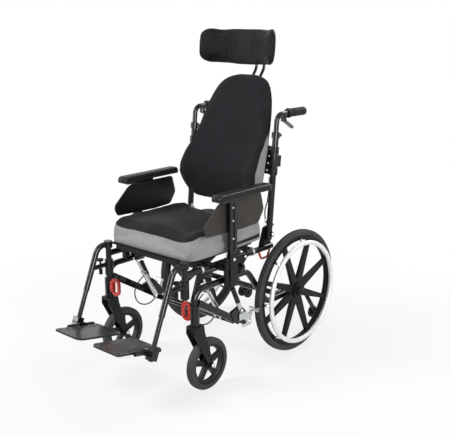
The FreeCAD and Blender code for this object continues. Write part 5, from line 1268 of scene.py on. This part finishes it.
@dataclass
class PushHandle:
    """Ribbed rubber sleeve over the grip, with a bulb at its end."""

    x: float = 0.218
    z: float = 0.982
    start: float = -0.0125
    end: float = 0.0968
    radius: float = 0.0153

    def build(self, side: str, sign: float) -> None:
        """Makes one side's sleeve and its ribs."""
        length = self.end - self.start
        profile = [(0.0104, 0.0), (self.radius + 0.0035, 0.0005), (self.radius + 0.0042, 0.0030),
                   (self.radius + 0.0035, 0.0055), (self.radius, 0.0085), (self.radius + 0.0002, 0.030),
                   (self.radius + 0.0010, length / 2), (self.radius + 0.0002, length - 0.030),
                   (self.radius, length - 0.018), (self.radius + 0.0016, length - 0.012),
                   (self.radius + 0.0016, length - 0.006), (self.radius - 0.002, length - 0.0012),
                   (0.006, length), (0.0005, length)]
        centre = (sign * self.x, AXLE_Y + self.start, self.z)
        sleeve = lathe(f"grip_sleeve_{side}", profile, centre, (0.0, 1.0, 0.0), 40)
        settle(sleeve, f"push_handle_{side}", SOFT_RUBBER)
        lines = []
        for angle in np.arange(20) * (math.pi / 10):
            out = Vector((math.cos(angle), 0.0, math.sin(angle)))
            ends = [Vector((sign * self.x, AXLE_Y + y, self.z)) + out * (self.radius + 0.0004)
                    for y in (self.start + 0.014, self.end - 0.024)]
            lines.append((ends, [out, out], False))
        nub = turned_part("nub", [(0.0022, 0.0), (0.0020, 0.0007), (0.0012, 0.0012), (0.0001, 0.0013)], 6)
        piece = grow(path_piece(f"grip_nubs_{side}", lines), REPEAT, Part=nub, Spacing=0.0060,
                     Finish=PALETTE.of(SOFT_RUBBER))
        drop(nub)
        settle(piece, f"push_handle_{side}", None)


@dataclass
class RearWheel:
    """Solid tyre with tread blocks and grooves, and the cap of the wheel."""

    x: float = 0.263
    crown: float = 0.2538

    def build(self, side: str, sign: float) -> None:
        """Makes one side's tyre, tread and cap."""
        half = [(0.2313, 0.0120), (0.2360, 0.0146), (0.2420, 0.0153), (0.2440, 0.0149), (0.2446, 0.0143),
                (0.2452, 0.0148), (0.2478, 0.0142), (0.2508, 0.0122), (0.2524, 0.0098), (0.2531, 0.0074),
                (0.2518, 0.0068), (0.2518, 0.0058), (0.2535, 0.0052), (0.2538, 0.0012), (0.2524, 0.0006)]
        profile = half + [(radius, -offset) for radius, offset in reversed(half)]
        centre = (sign * self.x, AXLE_Y, AXLE_Z)
        tyre = lathe(f"tyre_{side}", profile, centre, (1.0, 0.0, 0.0), 160, loop=True)
        body = f"rear_wheel_{side}"
        settle(tyre, body, TYRE_RUBBER, [f"rear_tyre_{side}"])
        lines = []
        for offset, reach, tilt in ((-0.0103, 0.2519, -0.75), (-0.0032, 0.2536, 0.0), (0.0032, 0.2536, 0.0),
                                    (0.0103, 0.2519, 0.75)):
            turn = 0.011 if offset in (-0.0032, 0.0103) else 0.0
            angles = np.linspace(0.0, 2 * math.pi, 180, endpoint=False) + turn
            outs = [Vector((0.0, math.cos(angle), math.sin(angle))) for angle in angles]
            across = Vector((sign, 0.0, 0.0))
            points = [Vector(centre) + out * reach + across * offset for out in outs]
            ups = [(out * math.cos(tilt) + across * math.sin(tilt)).normalized() for out in outs]
            lines.append((points, ups, True))
        block = part_from("tread_block", [
            (-0.0036, -0.0022, -0.0006), (0.0036, -0.0014, -0.0006), (0.0036, 0.0014, -0.0006), (-0.0036,
                                                                                                 0.0022, -0.0006),
            (-0.0030, -0.0017, 0.0012), (0.0030, -0.0010, 0.0012), (0.0030, 0.0010, 0.0012), (-0.0030,
                                                                                              0.0017, 0.0012),
        ], [(3, 2, 1, 0), (4, 5, 6, 7), (0, 1, 5, 4), (1, 2, 6, 5), (2, 3, 7, 6), (3, 0, 4, 7)])
        piece = grow(path_piece(f"tread_{side}", lines), REPEAT, Part=block, Spacing=0.0105,
                     Finish=PALETTE.of(TYRE_RUBBER))
        drop(block)
        settle(piece, body, None)
        cap = lathe(f"hub_cap_{side}", [(0.0155, -0.002), (0.0155, 0.0015), (0.0140, 0.0030),
                                        (0.0095, 0.0036),
                                        (0.0088, 0.0022), (0.0060, 0.0022), (0.0056, 0.0052), (0.0001,
                                                                                               0.0060)],
                    (sign * (self.x + 0.029), AXLE_Y, AXLE_Z), (sign, 0.0, 0.0), 36)
        settle(cap, body, GLOSS_BLACK)


@dataclass
class Cord:
    """A thin control cable that follows its route and ends in two clips."""

    diameter: float = 0.005

    def lay(self, name: str, route: Sequence[Sequence[float]], body: str, node: str) -> None:
        """Makes the cable with its end sleeves.

        Args:
            name: the cable's name.
            route: its control points.
            body: the body that it rides on.
            node: the CAD node that it stands for.
        """
        data = bpy.data.curves.new(name, "CURVE")
        data.dimensions = "3D"
        spline = data.splines.new("NURBS")
        spline.points.add(len(route) - 1)
        for spot, place in zip(spline.points, route):
            spot.co = (*place, 1.0)
        spline.order_u = 3
        spline.use_endpoint_u = True
        spline.resolution_u = 8
        data.bevel_depth = self.diameter / 2
        data.bevel_resolution = 4
        data.use_fill_caps = True
        cable = bpy.data.objects.new(name, data)
        bpy.context.scene.collection.objects.link(cable)
        data.materials.append(PALETTE.of(SOFT_RUBBER))
        for number, (start, after) in enumerate(((route[0], route[1]), (route[-1], route[-2]))):
            way = (Vector(after) - Vector(start)).normalized()
            sleeve = lathe(f"{name}_sleeve_{number}", [
                (0.0026, 0.016), (0.0040, 0.015), (0.0044, 0.010), (0.0044, -0.0005), (0.0036,
                                                                                       -0.0020), (0.0010,
                                                                                                  -0.0022),
            ], start, way, 20)
            settle(sleeve, body, ZINC)
        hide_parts(node)
        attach(cable, body)
        log.info("%s rides on %s", name, body)


def lay_cables() -> None:
    """Lays the release loops of the gas springs and the cables up the canes."""
    loop = [(-0.437, 0.346), (-0.483, 0.322), (-0.507, 0.278), (-0.483, 0.224), (-0.411, 0.206),
            (-0.377, 0.241)]
    climb = [(-0.004, 0.042), (-0.016, 0.072), (-0.016, 0.104), (0.0, 0.130), (0.0, 0.222)]
    for side, sign in SIDES:
        route = [(sign * 0.164, AXLE_Y + y, z) for y, z in loop]
        Cord().lay(f"release_cable_{side}", route, f"gas_cylinder_{side}", f"release_loop_{side}")
        route = [tuple(BACK.one(sign * 0.2025, b, h)) for b, h in climb]
        Cord().lay(f"tilt_cable_{side}", route, "back", "release_cables")


@dataclass
class Fasteners:
    """Screws, rivets and slots that the photograph shows on the CAD parts."""

    def on_node(self, node: str, y: float, z: float, sign: float) -> tuple[Vector, Vector] | None:
        """Where a ray from the outside meets a CAD node, at a place seen from the side."""
        return Surface(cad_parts[node]).hit((sign * 0.6, AXLE_Y + y, z), (-sign, 0.0, 0.0))

    def build(self) -> None:
        """Adds every group of screws."""
        for side, sign in SIDES:
            out = (sign, 0.0, 0.0)
            self.on_seat(side, sign, out)
            self.on_foot(side, sign)
            self.on_caster(side, sign, out)
            heads = [(SHELL.one(sign * 0.196, -0.015, 0.235 + step), SHELL.way(0.0, -1.0, 0.0))
                     for step in (0.014, 0.042, 0.070, 0.098)]
            fastened(f"mount_screws_{side}", heads, Fastener.BUTTON, 0.0045, "back", ZINC)

    def on_seat(self, side: str, sign: float, out: Sequence[float]) -> None:
        """Bolts of the pivot plates and the armrest sockets."""
        spots = [("armrest_sockets", -0.388, 0.481), ("seat_brackets", -0.342, 0.458),
                 ("seat_brackets", -0.278, 0.458)]
        places = [found for node, y, z in spots if (found := self.on_node(node, y, z, sign))]
        fastened(f"seat_bolts_{side}", [(place, out) for place, _ in places], Fastener.BUTTON, 0.0062,
                 "seat",
                 ZINC)
        pins = [((sign * 0.2386, AXLE_Y - 0.1235, 0.515), out)]
        fastened(f"back_pins_{side}", pins, Fastener.BUTTON, 0.0085, "seat", ZINC)
        for number, y in enumerate((-0.505, -0.216)):
            ring = lathe(f"rail_clamp_{side}_{number}", [
                (0.0121, -0.005), (0.0142, -0.005), (0.0148, -0.003), (0.0148, 0.003), (0.0142,
                                                                                        0.005), (0.0121,
                                                                                                 0.005),
            ], (sign * 0.207, AXLE_Y + y, 0.458), (0.0, 1.0, 0.0), 32, loop=True)
            settle(ring, "seat", ZINC)
        pivots = [found for y, z in ((-0.335, 0.262), (-0.287, 0.205))
                  if (found := self.on_node("lower_bars", y, z, sign))]
        for number, (low, high, bevel) in enumerate((
                ((0.2500, -0.345, 0.222), (0.2560, -0.300, 0.250), 0.0025), ((0.2440, -0.322, 0.186),
                                                                             (0.2540, -0.276, 0.200), 0.003),
                ((0.2500, -0.306, 0.196), (0.2585, -0.290, 0.240), 0.0025))):
            near, far = (Vector((sign * point[0], AXLE_Y + point[1], point[2])) for point in (low, high))
            near.x, far.x = min(near.x, far.x), max(near.x, far.x)
            bracket = new_piece(f"lock_bracket_{side}_{number}", *bevelled_box(near, far, bevel),
                                smooth=False)
            settle(bracket, "base", ZINC)
        fastened(f"lock_bolts_{side}", [(place, out) for place, _ in pivots], Fastener.HEX, 0.0072, "base",
                 ZINC)

    def on_foot(self, side: str, sign: float) -> None:
        """Rivets, and dark discs of painted shade over the footplate's slots."""
        lean = math.radians(11.3)
        hinge = Vector((sign * 0.184, AXLE_Y - 0.756, 0.215))

        def on_plate(x: float, y: float) -> tuple[Vector, Vector]:
            """A point and the normal on the plate's top face."""
            up = Vector((0.0, math.sin(lean), math.cos(lean)))
            along = Vector((0.0, math.cos(lean), -math.sin(lean)))
            return hinge + Vector((-sign * x, 0.0, 0.0)) + along * y + up * 0.0035, up

        rivets = [on_plate(0.140, -0.115), (on_plate(0.022, -0.116)), on_plate(0.138, 0.052),
                  on_plate(0.024, 0.056)]
        fastened(f"foot_rivets_{side}", rivets, Fastener.RIVET, 0.0045, f"footplate_{side}",
                 SATIN_BLACK)
        slots = [on_plate(x, y) for x in (0.028, 0.042) for y in (-0.085, -0.062, -0.039, -0.016, 0.007,
                                                                  0.030)]
        fastened(f"foot_eyelets_{side}", slots, Fastener.RING, 0.0038, f"footplate_{side}",
                 HOLE_SHADE)

    def on_caster(self, side: str, sign: float, out: Sequence[float]) -> None:
        """Axle nuts of the caster fork, and dark discs of painted shade over its spare axle holes."""
        spots = []
        for way in (1.0, -1.0):
            surface = Surface(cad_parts[f"caster_fork_{side}"])
            found = surface.hit((sign * 0.236 + way * 0.2, AXLE_Y - 0.509, 0.100), (-way, 0.0, 0.0))
            if found:
                spots.append((found[0], (way, 0.0, 0.0)))
        fastened(f"caster_nuts_{side}", spots, Fastener.HEX, 0.0085, f"caster_fork_{side}", ZINC)
        holes = [found for y, z in ((-0.511, 0.124), (-0.522, 0.144))
                 if (found := self.on_node(f"caster_fork_{side}", y, z, sign))]
        fastened(f"caster_holes_{side}", [(place, out) for place, _ in holes], Fastener.RING, 0.0040,
                 f"caster_fork_{side}", HOLE_SHADE)


@dataclass
class LockGrip:
    """Rubber sleeve on the wheel lock's lever."""

    x: float = 0.252
    radius: float = 0.0094

    def build(self, side: str, sign: float) -> None:
        """Makes one side's sleeve."""
        start = Vector((sign * self.x, AXLE_Y - 0.352, 0.300))
        way = Vector((0.0, -0.029, 0.061)).normalized()
        profile = [(0.004, -0.0006), (0.0088, -0.0004), (0.0098, 0.0020), (0.0098, 0.0060),
                   (self.radius, 0.0080),
                   (self.radius, 0.0600), (0.0100, 0.0640), (0.0098, 0.0695), (0.0070, 0.0724), (0.0001,
                                                                                                 0.0728)]
        sleeve = lathe(f"lock_sleeve_{side}", profile, start, way, 28)
        settle(sleeve, f"lock_lever_{side}", SOFT_RUBBER)


# Dressing of the CAD parts
BOTH = ("left", "right")
DRESS: list[tuple[Finish | TwoPartFinish, tuple[str, ...], tuple[str, ...]]] = [
    (GLOSS_BLACK, ("lower_bars", "seat_rails", "back_canes", "headrest_stalk", "cross_tubes"),
     ("side_frame", "anti_tip_arm", "hanger_tube", "hanger_extension", "armrest_post", "push_handle")),
    (SATIN_BLACK, ("seat_brackets", "back_mounts", "armrest_sockets"), ("caster_fork",)),
    (MOULDED_BLACK, ("seat_pan", "back_shell"), ("rear_rim", "hanger_latch")),
    # The guard's inner faces carry painted shade.
    (GUARD_SHADED_INSIDE, (), ("side_guard",)),
    (PLATE_BROWN, (), ("footplate",)),
    (PUSH_RING, (), ("handrim",)),
    (CHROME, (), ("gas_cylinder", "gas_rod")),
    (ZINC, (), ("lock_lever", "lock_shoe")),
    (LEVER_GREY, (), ("tilt_lever",)),
    (RED_PAINT, ("front_tie_downs", "rear_tie_downs"), ()),
    (SOFT_RUBBER, (), ("anti_tip_roller",)),
]


def dress_nodes() -> None:
    """Gives every CAD node its material."""
    for finish, single, paired in DRESS:
        names = list(single) + [f"{name}_{side}" for name in paired for side in BOTH]
        for name in names:
            dress(name, PALETTE.of(finish))
    for side in BOTH:
        low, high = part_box(f"caster_wheel_{side}")
        axle = (low + high) / 2
        finish = TwoPartFinish(f"caster_{side}", MOULDED_BLACK, TYRE_RUBBER, axle=tuple(axle), radius=0.0775)
        dress(f"caster_wheel_{side}", PALETTE.of(finish))


def dress(name: str, material: bpy.types.Material) -> None:
    """Puts a material in a CAD node's slots."""
    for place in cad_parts[name].material_slots:
        place.material = material
    log.info("%s is dressed in %s", name, material.name)


# Studio
@dataclass
class Studio:
    """Camera at the photograph's view, soft lamps and a pale floor."""

    spot: tuple[float, float, float] = (2.0478, -2.1201, 1.3527)
    azimuth: float = math.radians(40.602)
    pitch: float = math.radians(14.705)
    lens: float = 61.69
    shift_x: float = -0.0341
    shift_y: float = -0.0008

    def build(self) -> None:
        """Makes the camera, the lamps, the world and the floor."""
        scene = bpy.context.scene
        scene.view_settings.view_transform = "Standard"
        self.add_camera(scene)
        self.add_world(scene)
        self.add_lamp("key", (-1.6, -2.6, 3.2), 1.1, 105.0)
        self.add_lamp("fill", (3.4, -0.6, 1.9), 1.2, 46.0)
        self.add_lamp("rear", (0.4, 2.8, 2.6), 1.2, 46.0)
        self.add_lamp("strip", (3.4, -2.2, 1.5), 1.0, 140.0, 1.8).visible_diffuse = False
        self.add_lamp("left_strip", (-2.6, -2.4, 1.3), 0.8, 45.0, 1.8).visible_diffuse = False
        self.add_floor()

    def add_camera(self, scene: bpy.types.Scene) -> None:
        """Makes the camera."""
        a, p = self.azimuth, self.pitch
        back = Vector((math.sin(a) * math.cos(p), -math.cos(a) * math.cos(p), math.sin(p)))
        right = Vector((math.cos(a), math.sin(a), 0.0))
        up = back.cross(right)
        data = bpy.data.cameras.new("camera")
        data.sensor_width = 36.0
        data.lens = self.lens
        data.shift_x = self.shift_x
        data.shift_y = self.shift_y
        camera = bpy.data.objects.new("camera", data)
        camera.matrix_world = Matrix.Translation(self.spot) @ Matrix((right, up, back)).transposed().to_4x4()
        scene.collection.objects.link(camera)
        scene.camera = camera

    @staticmethod
    def seen_ray(graph: Graph) -> bpy.types.NodeSocket:
        """1 for rays from the camera, and for those that gloss and glass send on."""
        path = graph.add("ShaderNodeLightPath")
        gloss = graph.sum("MAXIMUM", path.outputs["Is Camera Ray"], path.outputs["Is Glossy Ray"])
        return graph.sum("MAXIMUM", gloss, path.outputs["Is Transmission Ray"])

    def add_world(self, scene: bpy.types.Scene) -> None:
        """Lights the object evenly and shows white behind it."""
        world = bpy.data.worlds.new("studio")
        world.use_nodes = True
        world.node_tree.nodes.clear()
        graph = Graph(world.node_tree)
        strength = graph.sum("ADD", graph.sum("MULTIPLY", self.seen_ray(graph), 0.70), 0.30)
        white = graph.add("ShaderNodeBackground", {"Color": (1.0, 1.0, 1.0, 1.0), "Strength": strength})
        end = graph.add("ShaderNodeOutputWorld")
        graph.tree.links.new(white.outputs[0], end.inputs["Surface"])
        scene.world = world

    @staticmethod
    def add_lamp(name: str, place: Sequence[float], size: float, power: float,
                 tall: float = 0.0) -> bpy.types.Object:
        """Adds a soft lamp, square or tall, that looks at the chair's middle, and returns it."""
        data = bpy.data.lights.new(name, "AREA")
        data.shape = "RECTANGLE"
        data.size = size
        data.size_y = tall or size
        data.energy = power
        lamp = bpy.data.objects.new(name, data)
        way = Vector((0.0, 0.0, 0.55)) - Vector(place)
        lamp.matrix_world = Matrix.Translation(place) @ way.to_track_quat("-Z", "Y").to_matrix().to_4x4()
        bpy.context.scene.collection.objects.link(lamp)
        return lamp

    def add_floor(self) -> None:
        """Lays a wide pale floor that keeps a soft shadow."""
        rim = [(12.0 * math.cos(a), 12.0 * math.sin(a), -0.0005) for a in np.arange(64) * (math.pi / 32)]
        floor = new_piece("floor", rim, [tuple(range(64))], smooth=False)
        material = bpy.data.materials.new("floor_paint")
        material.use_nodes = True
        material.node_tree.nodes.clear()
        graph = Graph(material.node_tree)
        matt = graph.add("ShaderNodeBsdfDiffuse", {"Color": (0.9, 0.9, 0.9, 1.0)})
        white = graph.add("ShaderNodeEmission", {"Color": (1.0, 1.0, 1.0, 1.0), "Strength": 1.0})
        where = graph.add("ShaderNodeTexCoord").outputs["Object"]
        reach = graph.add("ShaderNodeVectorMath", {0: where}, operation="LENGTH").outputs["Value"]
        near = graph.sum("ADD", graph.sum("MULTIPLY", graph.ramp(reach, 0.7, 1.8), 0.22), 0.78)
        share = graph.sum("MULTIPLY", self.seen_ray(graph), near)
        both = graph.add("ShaderNodeMixShader", {0: share, 1: matt.outputs[0], 2: white.outputs[0]})
        end = graph.add("ShaderNodeOutputMaterial")
        graph.tree.links.new(both.outputs[0], end.inputs["Surface"])
        floor.data.materials.append(material)


def main() -> None:
    """Builds the studio, then each sub-assembly in order."""
    logging.basicConfig(level=logging.INFO, format="%(message)s")
    Studio().build()
    lay_cables()
    dress_nodes()
    for side, sign in SIDES:
        RearWheel().build(side, sign)
        Armrest().build(side, sign)
        PushHandle().build(side, sign)
        LockGrip().build(side, sign)
    Fasteners().build()
    SeatCushion().build()
    BackCushion().build()
    HeadPad().build()


if __name__ == "__main__":
    main()
